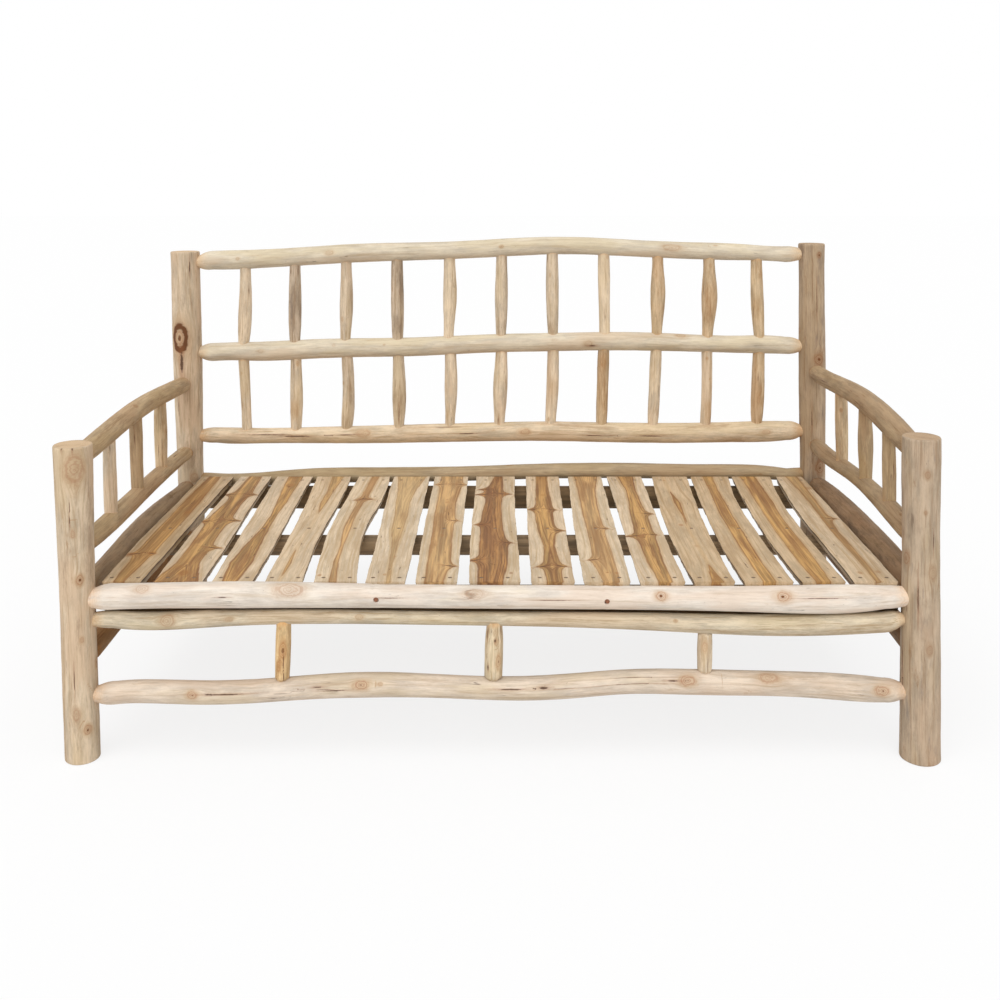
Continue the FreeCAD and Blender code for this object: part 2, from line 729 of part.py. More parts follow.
def build_front_spindles(rail_bodies):
    """Short spindles whose ends are hollowed to saddle the two front rails, with a thin tenon."""
    half = size("post_spacing") / 2
    tenon = size("front_spindle_tenon_diameter")
    for side, foot_share, head_share, girth_shares in FRONT_SPINDLE_SHARES:
        name = f"front_spindle_{side}"
        ends = []
        for rail, share, way in ((front_stretcher, foot_share, 1), (front_upper_rail, head_share, -1)):
            run_share = rail.share_at(half * share)
            centre = rail.centre(run_share)
            reach = rail.radius(run_share) * way
            ends.append((rail, centre, reach))
        (low, foot, foot_reach), (high, head, head_reach) = ends
        raw = Log(name, "Z", foot[:2] + (foot[2] + foot_reach * SADDLE_REACH_SHARE,),
                  head[:2] + (head[2] + head_reach * SADDLE_REACH_SHARE,),
                  size("front_spindle_diameter"), girth_shares)
        blank = raw.body()
        saddled = doc.addObject("Part::Cut", f"{name}_saddled")
        saddled.Base = blank
        saddled.Tool = grouped(f"{name}_rails", [rail_bodies["stretcher"], rail_bodies["upper"]])
        pins = []
        for rail, centre, reach, way in ((low, foot, foot_reach, "+Z"), (high, head, head_reach, "-Z")):
            floor = centre[:2] + (centre[2] + reach * SADDLE_REACH_SHARE,)
            pins.append(cylinder(f"{name}_tenon_in_{rail.name}", way, floor, tenon, rail.diameter))
            socket(rail, name, way, floor, tenon, rail.diameter)
        fused = doc.addObject("Part::MultiFuse", f"{name}_fused")
        fused.Shapes = [saddled] + pins
        keep(name, fused)


# Bearers: round rails under the slats, planed flat on top and tenoned into the seat's side rails

SLAT_UNDERSIDE = SEAT - size("slat_thickness")


def define_bearer(name, y, diameter, girth_shares, rise_shares):
    """A bearer between the two side rails, its crown a flat's depth above the slats' underside."""
    ends = []
    for side, way in (("left", 1), ("right", -1)):
        host = SEAT_SIDES[side]
        share = host.share_at(y)
        level = SEAT + size(f"bearer_{side}_end_level")
        axis_x = host.centre(share)[0]
        face = axis_x + (host.radius(share) + size("shoulder_gap")) * way
        floor = axis_x + size("side_rail_stop") * way
        ends.append(((face, y, level), (floor, y, level)))
        socket(host, name, "+X" if way > 0 else "-X", (floor, y, level),
               size("bearer_end_diameter"), host.diameter)
    bearer = Log(name, "X", ends[0][0], ends[1][0], diameter, girth_shares, rise_shares, (),
                 RAIL_NOSE_SHARE, size("bearer_end_diameter"))
    bearer.floors = (ends[0][1][0], ends[1][1][0])
    return bearer


def level_shares(count, start_level, end_level, crown_drop, diameter):
    """Rise shares that keep a crown level although the two ends lie at other heights."""
    shares = []
    for step in range(count):
        base = share_between(start_level, end_level, step / (count - 1))
        shares.append((crown_drop.value - base.value) / diameter.value)
    return tuple(shares)


def bearer_with_level_crown(name, y, diameter, girth_shares):
    """Bearer whose centre line is level, half a diameter less the flat's depth below the slats."""
    drop = -size("slat_thickness") - diameter / 2 + size("bearer_flat_depth")
    rise_shares = level_shares(len(girth_shares), size("bearer_left_end_level"),
                               size("bearer_right_end_level"), drop, diameter)
    return define_bearer(name, y, diameter, girth_shares, rise_shares)


middle_bearer = bearer_with_level_crown(
    "middle_bearer", size("middle_bearer_place"), size("middle_bearer_diameter"),
    (1.0, 1.02, 0.99, 1.0, 1.03, 1.0, 0.98))
rear_bearer = bearer_with_level_crown(
    "rear_bearer", size("post_depth") / 2 - size("rear_bearer_inset"),
    size("rear_bearer_diameter"), (0.98, 1.0, 1.02, 1.0, 0.98, 1.0, 1.0))

# Ledger: a sawn batten screwed to a flat on the back of the seat log, under the slats' front ends
SEAT_LOG_Y = -(size("post_depth") / 2)
LEDGER_FRONT = SEAT_LOG_Y + size("seat_log_diameter") / 2 - size("seat_log_flat_depth")
LEDGER_MIDDLE = LEDGER_FRONT + size("ledger_thickness") / 2
HALF_FIELD = size("post_spacing") / 2 - size("side_rail_diameter") / 2 - size("slat_side_gap")
LEDGER_HALF = HALF_FIELD - size("ledger_end_gap")
REBATE_WALL = SEAT_LOG_Y + size("slat_rebate_set_back")
SLAT_FRONT = REBATE_WALL + size("slat_end_gap")
SLAT_BACK = size("post_depth") / 2 - size("seat_back_diameter") * 0.5 - size("slat_end_gap")
SLAT_LENGTH = SLAT_BACK - SLAT_FRONT

# Slats from left to right. First the middle of the front and back ends as shares of half the slat
# field, then the left and the right edge, from front to back, as shares of the slat's width.
SLAT_SHARES = (
    (-0.939, -0.94, (-0.45, -0.52, -0.52, -0.46, -0.5), (0.45, 0.47, 0.45, 0.47, 0.5)),
    (-0.799, -0.813, (-0.57, -0.6, -0.58, -0.5, -0.48), (0.56, 0.58, 0.53, 0.46, 0.49)),
    (-0.666, -0.684, (-0.47, -0.5, -0.52, -0.53, -0.56), (0.47, 0.54, 0.52, 0.52, 0.56)),
    (-0.539, -0.554, (-0.44, -0.42, -0.4, -0.44, -0.53), (0.45, 0.34, 0.4, 0.56, 0.54)),
    (-0.411, -0.42, (-0.5, -0.65, -0.72, -0.55, -0.49), (0.51, 0.3, 0.18, 0.58, 0.49)),
    (-0.287, -0.295, (-0.47, -0.47, -0.53, -0.58, -0.57), (0.47, 0.5, 0.5, 0.54, 0.56)),
    (-0.161, -0.164, (-0.48, -0.54, -0.54, -0.53, -0.52), (0.49, 0.49, 0.5, 0.5, 0.53)),
    (-0.017, -0.018, (-0.59, -0.65, -0.64, -0.6, -0.6), (0.6, 0.61, 0.54, 0.56, 0.6)),
    (0.128, 0.136, (-0.51, -0.53, -0.54, -0.52, -0.51), (0.5, 0.49, 0.48, 0.49, 0.52)),
    (0.261, 0.277, (-0.54, -0.58, -0.58, -0.55, -0.52), (0.54, 0.57, 0.52, 0.52, 0.51)),
    (0.399, 0.407, (-0.54, -0.56, -0.52, -0.53, -0.54), (0.53, 0.48, 0.48, 0.52, 0.54)),
    (0.526, 0.557, (-0.48, -0.64, -0.68, -0.63, -0.54), (0.48, 0.4, 0.4, 0.46, 0.55)),
    (0.66, 0.691, (-0.57, -0.72, -0.68, -0.68, -0.59), (0.58, 0.46, 0.42, 0.34, 0.59)),
    (0.796, 0.828, (-0.51, -0.68, -0.7, -0.68, -0.6), (0.51, 0.42, 0.34, 0.38, 0.6)),
    (0.927, 0.952, (-0.53, -0.52, -0.62, -0.52, -0.38), (0.5, 0.5, 0.46, 0.46, 0.42)),
)


@dataclass
class ScrewRow:
    """Where screws cross a slat: the line of their bearer and their spots over the width."""

    y: Length
    spots: tuple
    tools: list


def screw_rows():
    """The three lines of screws, with the list of pilot holes that each carrier collects."""
    two = (-SCREW_SPREAD_SHARE, SCREW_SPREAD_SHARE)
    return {
        "ledger": ScrewRow(LEDGER_MIDDLE, two, []),
        "middle": ScrewRow(size("middle_bearer_place"), (0.0,), middle_bearer.cuts),
        "rear": ScrewRow(rear_bearer.start[1], two, rear_bearer.cuts),
    }


def draw_spline_edge(sketch, poles):
    """Smooth edge of a slat over pinned poles; gives the number of its curve."""
    curve = Part.BSplineCurve()
    curve.buildFromPoles([FreeCAD.Vector(x.value, y.value, 0) for x, y in poles], False, 3)
    number = sketch.addGeometry(curve, False)
    first_pole = sketch.GeometryCount
    sketch.exposeInternalGeometry(number)
    for step, pole in enumerate(poles):
        pin_point(sketch, first_pole + step, 3, pole)
    return number


def draw_end_line(sketch, curves, ends, point):
    """Straight sawn end between the like ends of the two edge curves."""
    line = Part.LineSegment(*[FreeCAD.Vector(x.value, y.value, 0) for x, y in ends])
    number = sketch.addGeometry(line, False)
    for line_point, curve in zip((1, 2), curves):
        sketch.addConstraint(Sketcher.Constraint("Coincident", number, line_point, curve, point))


def slat_outline(body, name, drift, height, edge_shares, width_share):
    """Closed outline of a slat at one height: two wavy edges and two sawn ends."""
    outline = attached_sketch(body, name, "XY_Plane", (ZERO, ZERO, height))
    last = len(edge_shares[0]) - 1
    edges = []
    curves = []
    for shares in edge_shares:
        poles = [(drift * (step / last) + size("slat_width") * (share * width_share),
                  SLAT_LENGTH * (step / last)) for step, share in enumerate(shares)]
        curves.append(draw_spline_edge(outline, poles))
        edges.append(poles)
    draw_end_line(outline, curves, (edges[0][0], edges[1][0]), 1)
    draw_end_line(outline, curves, (edges[0][-1], edges[1][-1]), 2)
    return outline


def build_slat(number, shares, rows, screws):
    """One board with undercut wavy edges, and the spots of its screws."""
    front_share, back_share, left_shares, right_shares = shares
    edge_shares = (left_shares, right_shares)
    name = f"slat_{number:02d}"
    body = doc.addObject("PartDesign::Body", f"{name}_board")
    front_x = HALF_FIELD * front_share
    drift = HALF_FIELD * (back_share - front_share)
    place(body, (front_x, SLAT_FRONT, SLAT_UNDERSIDE))
    board = body.newObject("PartDesign::AdditiveLoft", f"{name}_board_loft")
    board.Profile = slat_outline(body, f"{name}_underside", drift, ZERO, edge_shares,
                                 UNDERSIDE_WIDTH_SHARE)
    board.Sections = [slat_outline(body, f"{name}_top", drift, size("slat_thickness"),
                                   edge_shares, 1.0)]
    board.Ruled = True

    spots = attached_sketch(body, f"{name}_screw_spots", "XY_Plane", (ZERO, ZERO, size("slat_thickness")))
    hole_diameter = size("screw_shank_diameter") + size("screw_play") * 2
    for row_name, row in rows.items():
        run_share = (row.y.value - SLAT_FRONT.value) / SLAT_LENGTH.value
        for spot_number, spot_share in enumerate(row.spots, start=1):
            local_x = drift * run_share + size("slat_width") * spot_share
            draw_circle(spots, hole_diameter, (local_x, row.y - SLAT_FRONT))
            screw_name = f"{name}_{row_name}_screw_{spot_number}"
            screws.append(build_screw(screw_name, front_x + local_x, row.y))
            row.tools.append(cylinder(f"{screw_name}_pilot", "-Z", (front_x + local_x, row.y, SEAT),
                                      hole_diameter, size("screw_length") + size("screw_sink")))
    return name, body, spots


def build_screw(name, x, y):
    """Countersunk wood screw standing in a slat, its head sunk just below the surface."""
    top = SEAT - size("screw_sink")
    neck = top - size("screw_head_height")
    head = doc.addObject("Part::Cone", f"{name}_head")
    place(head, (x, y, neck))
    bind(head, "Radius1", size("screw_shank_diameter") / 2)
    bind(head, "Radius2", size("screw_head_diameter") / 2)
    bind(head, "Height", size("screw_head_height"))
    shank = cylinder(f"{name}_shank", "-Z", (x, y, neck), size("screw_shank_diameter"),
                     size("screw_length") - size("screw_head_height"))
    screw = doc.addObject("Part::Fuse", name)
    screw.Base = head
    screw.Tool = shank
    return screw


def drill_slat(name, body, spots):
    """Countersunk holes through a slat's board, which has been computed by now."""
    hole = body.newObject("PartDesign::Hole", f"{name}_screw_holes")
    hole.Profile = spots
    doc.recompute([hole])
    hole.DepthType = "ThroughAll"
    hole.HoleCutType = "Countersink"
    hole.HoleCutCountersinkAngle = 90
    play = size("screw_play") * 2
    hole.HoleCutCustomValues = True
    bind(hole, "Diameter", size("screw_shank_diameter") + play)
    bind(hole, "HoleCutDiameter", size("screw_head_diameter") + (size("screw_sink") + size("screw_play")) * 2)


def build_slats(rows):
    """All slats, their holes and their screws."""
    screws = []
    boards = [build_slat(number, shares, rows, screws) for number, shares in enumerate(SLAT_SHARES, start=1)]
    doc.recompute()
    for name, body, spots in boards:
        drill_slat(name, body, spots)
        keep(name, body)
    keep("slat_screws", grouped("slat_screw_group", screws))


def build_log_screws(ledger_tools):
    """Two long screws through the seat log into the ledger, their heads in counterbores."""
    screws = []
    bore = size("log_screw_shank_diameter") + size("screw_play") * 2
    head_bore = size("log_screw_head_diameter") + size("screw_play") * 2
    for number, share in enumerate(LOG_SCREW_SHARES, start=1):
        x = size("post_spacing") / 2 * share
        run_share = seat_front_log.share_at(x)
        level = seat_front_log.centre(run_share)[2]
        crown = SEAT_LOG_Y - seat_front_log.radius(run_share)
        head_y = crown + size("log_screw_sink")
        tip_y = LEDGER_FRONT + size("log_screw_bite")
        name = f"seat_log_screw_{number}"
        head = cylinder(f"{name}_head", "+Y", (x, head_y, level), size("log_screw_head_diameter"),
                        size("log_screw_head_height"))
        shank = cylinder(f"{name}_shank", "+Y", (x, head_y, level), size("log_screw_shank_diameter"),
                         tip_y - head_y)
        screw = doc.addObject("Part::Fuse", name)
        screw.Base = head
        screw.Tool = shank
        screws.append(screw)
        seat_front_log.cuts.append(cylinder(f"{name}_bore", "+Y", (x, head_y, level), bore,
                                            seat_front_log.diameter))
        mouth = head_y + size("log_screw_head_height")
        seat_front_log.cuts.append(cylinder(f"{name}_counterbore", "-Y", (x, mouth, level), head_bore,
                                            seat_front_log.diameter))
        ledger_tools.append(cylinder(f"{name}_pilot", "-Y", (x, tip_y, level), bore,
                                     size("ledger_thickness")))
    keep("seat_log_screws", grouped("seat_log_screw_group", screws))


def plane_flats():
    """Boxes that plane the bearers' tops level and the seat log's back flat, with its rebate."""
    for bearer in (middle_bearer, rear_bearer):
        corner = (-(size("post_spacing") / 2), bearer.start[1] - bearer.diameter, SLAT_UNDERSIDE)
        bearer.cuts.append(box(f"{bearer.name}_flat", corner, size("post_spacing"),
                               bearer.diameter * 2, bearer.diameter))
    corner = (-(size("post_spacing") / 2), LEDGER_FRONT, SEAT - size("seat_log_diameter") * 2)
    seat_front_log.cuts.append(box("seat_log_flat", corner, size("post_spacing"),
                                   size("seat_log_diameter"), size("seat_log_diameter") * 3))
    rebate_half = HALF_FIELD + size("slat_end_gap")
    seat_front_log.cuts.append(box("seat_log_rebate", (-rebate_half, REBATE_WALL, SLAT_UNDERSIDE),
                                   rebate_half * 2, size("seat_log_diameter"),
                                   size("seat_log_diameter")))


def build_ledger(tools):
    """The batten behind the seat log."""
    corner = (-LEDGER_HALF, LEDGER_FRONT, SLAT_UNDERSIDE - size("ledger_height"))
    batten = box("front_ledger_batten", corner, LEDGER_HALF * 2, size("ledger_thickness"),
                 size("ledger_height"))
    cut_node("front_ledger", batten, tools)


def build():
    """Build every sub-part in the order in which they depend on each other."""
    build_back_spindles()
    build_arm_spindles()
    rail_bodies = {"stretcher": rail_body(front_stretcher), "upper": rail_body(front_upper_rail)}
    build_front_spindles(rail_bodies)
    cut_node("front_stretcher", rail_bodies["stretcher"], front_stretcher.cuts)
    cut_node("front_upper_rail", rail_bodies["upper"], front_upper_rail.cuts)

    rows = screw_rows()
    build_slats(rows)
    build_log_screws(rows["ledger"].tools)
    plane_flats()
    build_ledger(rows["ledger"].tools)

    rails = [seat_front_log, back_top_rail, back_middle_rail, back_low_rail, seat_back_rail,
             middle_bearer, rear_bearer]
    for group in (ARM_TOPS, ARM_LOWS, SEAT_SIDES, LOW_SIDES):
        rails.extend(group.values())
    for rail in rails:
        cut_node(rail.name, rail_body(rail), rail.cuts)
    for post in POSTS.values():
        cut_node(post.name, post.body(), post.cuts)
    doc.recompute()


def check():
    """Stop with a plain message if any object failed or any sub-part has a bad shape."""
    faults = [thing.Name for thing in doc.Objects if {"Invalid", "Error"} & set(thing.State)]
    for name, thing in NODES.items():
        if thing.Shape.isNull() or not thing.Shape.isValid():
            faults.append(f"{name} has a bad shape")
    if faults:
        raise RuntimeError("; ".join(faults))


def export():
    """Write one STEP file for each sub-part."""
    os.makedirs("parts", exist_ok=True)
    for name, thing in NODES.items():
        thing.Shape.exportStep(f"parts/{name}.step")
    box_all = Part.makeCompound([thing.Shape for thing in NODES.values()]).BoundBox
    print(f"{len(NODES)} sub-parts, {box_all.XLength:.0f} x {box_all.YLength:.0f} x {box_all.ZLength:.0f} mm")


build()
check()
export()
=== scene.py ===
"""Looks of the rustic log bench: peeled branches, sawn slats with dark heartwood, soft studio."""

import logging
import math
from collections.abc import Callable, Sequence
from dataclasses import dataclass
from enum import Enum
from functools import cache

import bpy
import numpy as np
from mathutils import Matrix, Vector


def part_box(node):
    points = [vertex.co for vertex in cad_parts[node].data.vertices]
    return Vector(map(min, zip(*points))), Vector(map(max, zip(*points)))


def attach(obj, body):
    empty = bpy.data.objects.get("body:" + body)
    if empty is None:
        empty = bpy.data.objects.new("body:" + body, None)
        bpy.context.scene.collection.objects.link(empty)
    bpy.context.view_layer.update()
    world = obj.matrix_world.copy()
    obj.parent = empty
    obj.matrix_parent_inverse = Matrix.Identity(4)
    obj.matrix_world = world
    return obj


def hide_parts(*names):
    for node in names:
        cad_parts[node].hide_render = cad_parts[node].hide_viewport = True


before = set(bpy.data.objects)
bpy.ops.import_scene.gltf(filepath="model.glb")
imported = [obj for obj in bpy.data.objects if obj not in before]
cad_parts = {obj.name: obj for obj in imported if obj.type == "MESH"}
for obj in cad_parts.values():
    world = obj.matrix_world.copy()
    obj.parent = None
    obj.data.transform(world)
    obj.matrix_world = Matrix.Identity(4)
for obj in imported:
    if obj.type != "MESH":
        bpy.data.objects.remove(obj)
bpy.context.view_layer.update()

log = logging.getLogger("log_bench")

Rgb = tuple[int, int, int]
Triple = tuple[float, float, float]
Hole = tuple[Vector, Vector, float, float]
Object = bpy.types.Object
Material = bpy.types.Material
Socket = bpy.types.NodeSocket

MM = 0.001

# Share of a colour as seen that the surface itself reflects, the rest being the light's
ALBEDO = 0.86

CRACK_BROWN: Rgb = (84, 58, 42)
KNOT_BROWN: Rgb = (120, 74, 42)
# Near-black brown painted on the slats' side faces as the shade in the gaps between the slats
SIDE_SHADE_BROWN: Rgb = (86, 62, 42)
CRACK_SHARE = 0.7

# Degrees beyond which an edge stays sharp, and how near two points are merged
CREASE = 42
MERGE_REACH = 1e-6

# Sides of a drilled hole
HOLE_SIDES = 24

# A full turn in radians, the range of a wave's random phase, and that of the grain's random shift
TURN = 6.283
PHASES = (0, 6.28)
GRAIN_SHIFTS = (0, 40)


# Colours


def linear(rgb: Rgb, share: float = ALBEDO) -> tuple[float, float, float, float]:
    """Linear colour of a surface from its look on screen.

    Args:
        rgb: Colour on screen, 0 to 255.
        share: Factor on the linear colour.

    Returns:
        Linear red, green, blue and an alpha of one.
    """
    channels = []
    for value in rgb:
        level = value / 255
        flat = level / 12.92 if level <= 0.04045 else ((level + 0.055) / 1.055) ** 2.4
        channels.append(min(flat * share, 1.0))
    return (*channels, 1.0)


def toned(rgb: Rgb, *factors: float) -> Rgb:
    """A colour with its channels scaled.

    Args:
        rgb: Colour on screen.
        factors: One factor for all the channels, or one for each.

    Returns:
        The new colour.
    """
    each = factors * 3 if len(factors) == 1 else factors
    return tuple(max(0, min(255, round(value * factor))) for value, factor in zip(rgb, each))


@dataclass(frozen=True)
class LogFinish:
    """Peeled branch wood of one tone."""

    name: str
    base: Rgb
    stain: Rgb
    stain_amount: float
    streak_contrast: float = 1.0


class LogTone(Enum):
    """Finishes of the branches, by where they stand."""

    SEAT_LOG = LogFinish("seat_log_wood", (233, 222, 209), (204, 184, 166), 0.3, 0.7)
    FRONT_RAIL = LogFinish("front_rail_wood", (213, 198, 172), (168, 142, 110), 0.5, 1.3)
    STRETCHER = LogFinish("stretcher_wood", (223, 207, 188), (186, 162, 136), 0.45, 0.9)
    BACK_RAIL = LogFinish("back_rail_wood", (221, 208, 186), (186, 170, 148), 0.4, 0.8)
    LOW_RAIL = LogFinish("low_rail_wood", (224, 204, 175), (176, 144, 110), 0.6, 1.2)
    SEAT_BACK = LogFinish("seat_back_wood", (181, 161, 130), (150, 128, 98), 0.5)
    POST = LogFinish("post_wood", (214, 193, 166), (162, 138, 114), 0.65, 1.1)
    POST_GREY = LogFinish("post_grey_wood", (189, 168, 144), (136, 124, 114), 0.7, 1.1)
    POST_BROWN = LogFinish("post_brown_wood", (183, 160, 134), (132, 114, 100), 0.7, 1.3)
    ARM = LogFinish("arm_wood", (191, 165, 130), (144, 114, 84), 0.6, 1.2)
    ARM_BROWN = LogFinish("arm_brown_wood", (177, 152, 120), (126, 102, 78), 0.6, 1.2)
    SIDE = LogFinish("side_rail_wood", (162, 122, 77), (104, 80, 58), 0.7, 1.2)
    SIDE_LEFT = LogFinish("seat_side_wood", (166, 140, 110), (112, 88, 66), 0.7, 1.2)
    SIDE_GREY = LogFinish("side_rail_grey_wood", (153, 124, 94), (98, 80, 64), 0.7, 1.2)
    PALE = LogFinish("pale_spindle_wood", (230, 210, 183), (196, 168, 136), 0.45, 1.2)
    TAN = LogFinish("tan_spindle_wood", (214, 189, 155), (170, 130, 86), 0.8, 1.4)
    GREY = LogFinish("grey_spindle_wood", (205, 186, 163), (138, 122, 108), 0.85, 1.4)
    PALE_GREY = LogFinish("pale_grey_spindle_wood", (220, 201, 175), (152, 126, 100), 0.6, 1.3)
    OCHRE = LogFinish("ochre_spindle_wood", (226, 194, 148), (160, 116, 70), 0.9, 1.6)
    STUB = LogFinish("stub_spindle_wood", (222, 203, 172), (166, 130, 92), 0.7, 1.5)


@dataclass(frozen=True)
class BoardFinish:
    """Sawn board with pale sapwood round a darker heart."""

    name: str
    sap: Rgb
    heart: Rgb
    rim: Rgb
    heart_contrast: float


class BoardTone(Enum):
    """Finishes of the slats, by the tone of their heart."""

    PALE = BoardFinish("pale_slat_wood", (226, 206, 178), (202, 171, 127), (182, 147, 104), 0.7)
    OCHRE = BoardFinish("ochre_slat_wood", (223, 200, 169), (191, 155, 107), (164, 122, 77), 0.9)
    # Darker, browner sap and heart for slats 1, 12, 13 and 14 near the ends: browner wood with painted shade
    # from the side rails laid in
    AMBER = BoardFinish("amber_slat_wood", (211, 186, 151), (193, 152, 97), (156, 110, 66), 1.0)
    GOLDEN = BoardFinish("golden_slat_wood", (226, 205, 175), (197, 160, 114), (167, 125, 82), 1.0)
    BROWN = BoardFinish("brown_slat_wood", (225, 203, 173), (186, 146, 94), (142, 98, 62), 1.2)
    DARK = BoardFinish("dark_slat_wood", (224, 203, 173), (164, 121, 78), (124, 82, 54), 1.3)


# Materials


class Graph:
    """Node tree of a material or of the world, built with short calls."""

    def __init__(self, owner: Material | bpy.types.World) -> None:
        """Start with an empty tree.

        Args:
            owner: The material or world.
        """
        owner.use_nodes = True
        self.tree = owner.node_tree
        self.tree.nodes.clear()

    def add(self, kind: str, feeds: dict[int | str, object] | None = None,
            **settings: object) -> bpy.types.Node:
        """Add a node.

        Args:
            kind: Node type.
            feeds: Output socket, number or colour for some of its inputs.
            settings: Properties to set on it.

        Returns:
            The node.
        """
        node = self.tree.nodes.new(kind)
        for key, value in settings.items():
            setattr(node, key, value)
        for key, value in (feeds or {}).items():
            if isinstance(value, Socket):
                self.tree.links.new(value, node.inputs[key])
            else:
                node.inputs[key].default_value = value
        return node

    def attribute(self, name: str, output: str = "Fac") -> Socket:
        """Value of a mesh attribute, or its Vector."""
        return self.add("ShaderNodeAttribute", attribute_name=name).outputs[output]

    def math(self, operation: str, first: object, second: object = 0.0, clamp: bool = False) -> Socket:
        """One operation on one or two values, kept from 0 to 1 where clamp is set."""
        feeds = {0: first, 1: second}
        return self.add("ShaderNodeMath", feeds, operation=operation, use_clamp=clamp).outputs[0]

    def product(self, first: object, second: object, clamp: bool = False) -> Socket:
        """Product of two values, kept from 0 to 1 where clamp is set."""
        return self.math("MULTIPLY", first, second, clamp)

    def sum(self, first: object, second: object) -> Socket:
        """Sum of two values."""
        return self.math("ADD", first, second)

    def centred(self, value: object, middle: float = 0.5) -> Socket:
        """A value less its middle."""
        return self.math("SUBTRACT", value, middle)

    def off(self, value: object, middle: float) -> Socket:
        """Distance of a value from a middle."""
        return self.math("ABSOLUTE", self.centred(value, middle))

    def length(self, name: str) -> Socket:
        """Length of a mesh attribute's vector."""
        vector = self.attribute(name, "Vector")
        return self.add("ShaderNodeVectorMath", {0: vector}, operation="LENGTH").outputs["Value"]

    def noise(self, vector: Socket, scale: Triple, detail: float = 3.0, roughness: float = 0.55) -> Socket:
        """Fractal noise on stretched coordinates.

        Args:
            vector: Coordinates in metres.
            scale: Spots per metre on each axis.
            detail: Octaves.
            roughness: Weight of the finer octaves.

        Returns:
            Noise around one half.
        """
        place = self.add("ShaderNodeVectorMath", {0: vector, 1: scale}, operation="MULTIPLY").outputs[0]
        feeds = {"Vector": place, "Scale": 1.0, "Detail": detail, "Roughness": roughness}
        return self.add("ShaderNodeTexNoise", feeds).outputs["Fac"]

    def fade(self, value: object, start: float, end: float, high: float = 1.0, low: float = 0.0) -> Socket:
        """Smooth step from a low level before its start to a high one after its end."""
        feeds = dict(enumerate((value, start, end, low, high)))
        return self.add("ShaderNodeMapRange", feeds, interpolation_type="SMOOTHSTEP").outputs[0]

    def mix(self, share: object, first: object, second: object) -> Socket:
        """Mix of two colours, with the second one's share."""
        return self.add("ShaderNodeMix", {0: share, 6: first, 7: second}, data_type="RGBA").outputs[2]

    def layers(self, colour: object, rows: Sequence[tuple]) -> Socket:
        """Lay colours over one another, each where a value passes a step.

        Args:
            colour: Lowest colour, or its socket.
            rows: Value, colour on screen, and the step's start, end and high level, row by row.

        Returns:
            The colour.
        """
        for value, rgb, *steps in rows:
            colour = self.mix(self.fade(value, *steps), colour, linear(rgb))
        return colour


class Surface(Graph):
    """Node tree of a new material with one shader."""

    def __init__(self, name: str) -> None:
        """Start the material of this name."""
        self.material = bpy.data.materials.new(name)
        super().__init__(self.material)

    def finish(self, feeds: dict[str, object], relief: Socket | None = None, strength: float = 0.0,
               height: float = 0.0) -> Material:
        """Add the shader and the output.

        Args:
            feeds: The shader's inputs by name.
            relief: Level of the surface from 0 to 1, if it has a relief.
            strength: Strength of the relief.
            height: Height of the relief in metres.

        Returns:
            The material.
        """
        if relief is not None:
            bump = self.add("ShaderNodeBump", {"Strength": strength, "Distance": height, "Height": relief})
            feeds = feeds | {"Normal": bump.outputs[0]}
        shader = self.add("ShaderNodeBsdfPrincipled", feeds)
        self.add("ShaderNodeOutputMaterial", {0: shader.outputs[0]})
        return self.material


def knotted(graph: Graph, colour: Socket, grain: Socket, base: Rgb) -> Socket:
    """Lay the knots' halo, rings and dark core and the long cracks over a wood colour.

    Args:
        graph: The material's tree.
        colour: Colour of the clear wood.
        grain: Grain coordinates.
        base: Mean colour of the wood.

    Returns:
        The colour with knots and cracks.
    """
    shade, bold = graph.attribute("shade"), graph.attribute("bold")
    coarse = graph.centred(graph.noise(grain, (55, 75, 75), 2.0))
    fine = graph.centred(graph.noise(grain, (180, 320, 320), 3.0, 0.65))
    ragged = graph.sum(graph.product(coarse, 1.2), graph.product(fine, 0.7))
    ragged = graph.product(ragged, graph.fade(bold, 0.0, 1.0, 0.35, 1.0))
    reach = graph.sum(graph.length("knot"), ragged)
    halo = graph.product(graph.fade(reach, 2.4, 0.8, 0.75), shade, clamp=True)
    rings = graph.math("SINE", graph.product(reach, 17.0))
    rings = graph.product(graph.fade(rings, -0.2, 1.0, 0.6), graph.fade(reach, 1.35, 1.0))
    rim = graph.fade(graph.off(reach, 0.9), 0.22, 0.02, 0.6)
    pattern = graph.product(graph.math("MAXIMUM", rings, rim), shade, clamp=True)
    core = graph.product(graph.fade(reach, 0.34, 0.08), graph.fade(shade, 0.6, 0.9), clamp=True)
    thick = graph.fade(graph.off(reach, 0.84), 0.34, 0.14)
    thick = graph.math("MAXIMUM", thick, graph.fade(reach, 0.3, 0.16, 0.7))
    thick = graph.product(thick, graph.fade(bold, 0.2, 0.9))
    for share, rgb in ((halo, toned(base, 0.88, 0.79, 0.68)), (pattern, toned(base, 0.76, 0.56, 0.43)),
                       (core, KNOT_BROWN), (thick, toned(KNOT_BROWN, 0.9))):
        colour = graph.mix(share, colour, linear(rgb))
    ragged = graph.centred(graph.noise(grain, (90, 260, 260), 4.0, 0.7))
    reach = graph.sum(graph.length("gash"), graph.product(ragged, 1.6))
    return graph.layers(colour, ((reach, toned(KNOT_BROWN, 1.25), 2.6, 0.8, 0.35),
                                 (reach, CRACK_BROWN, 1.0, 0.55, 0.9)))


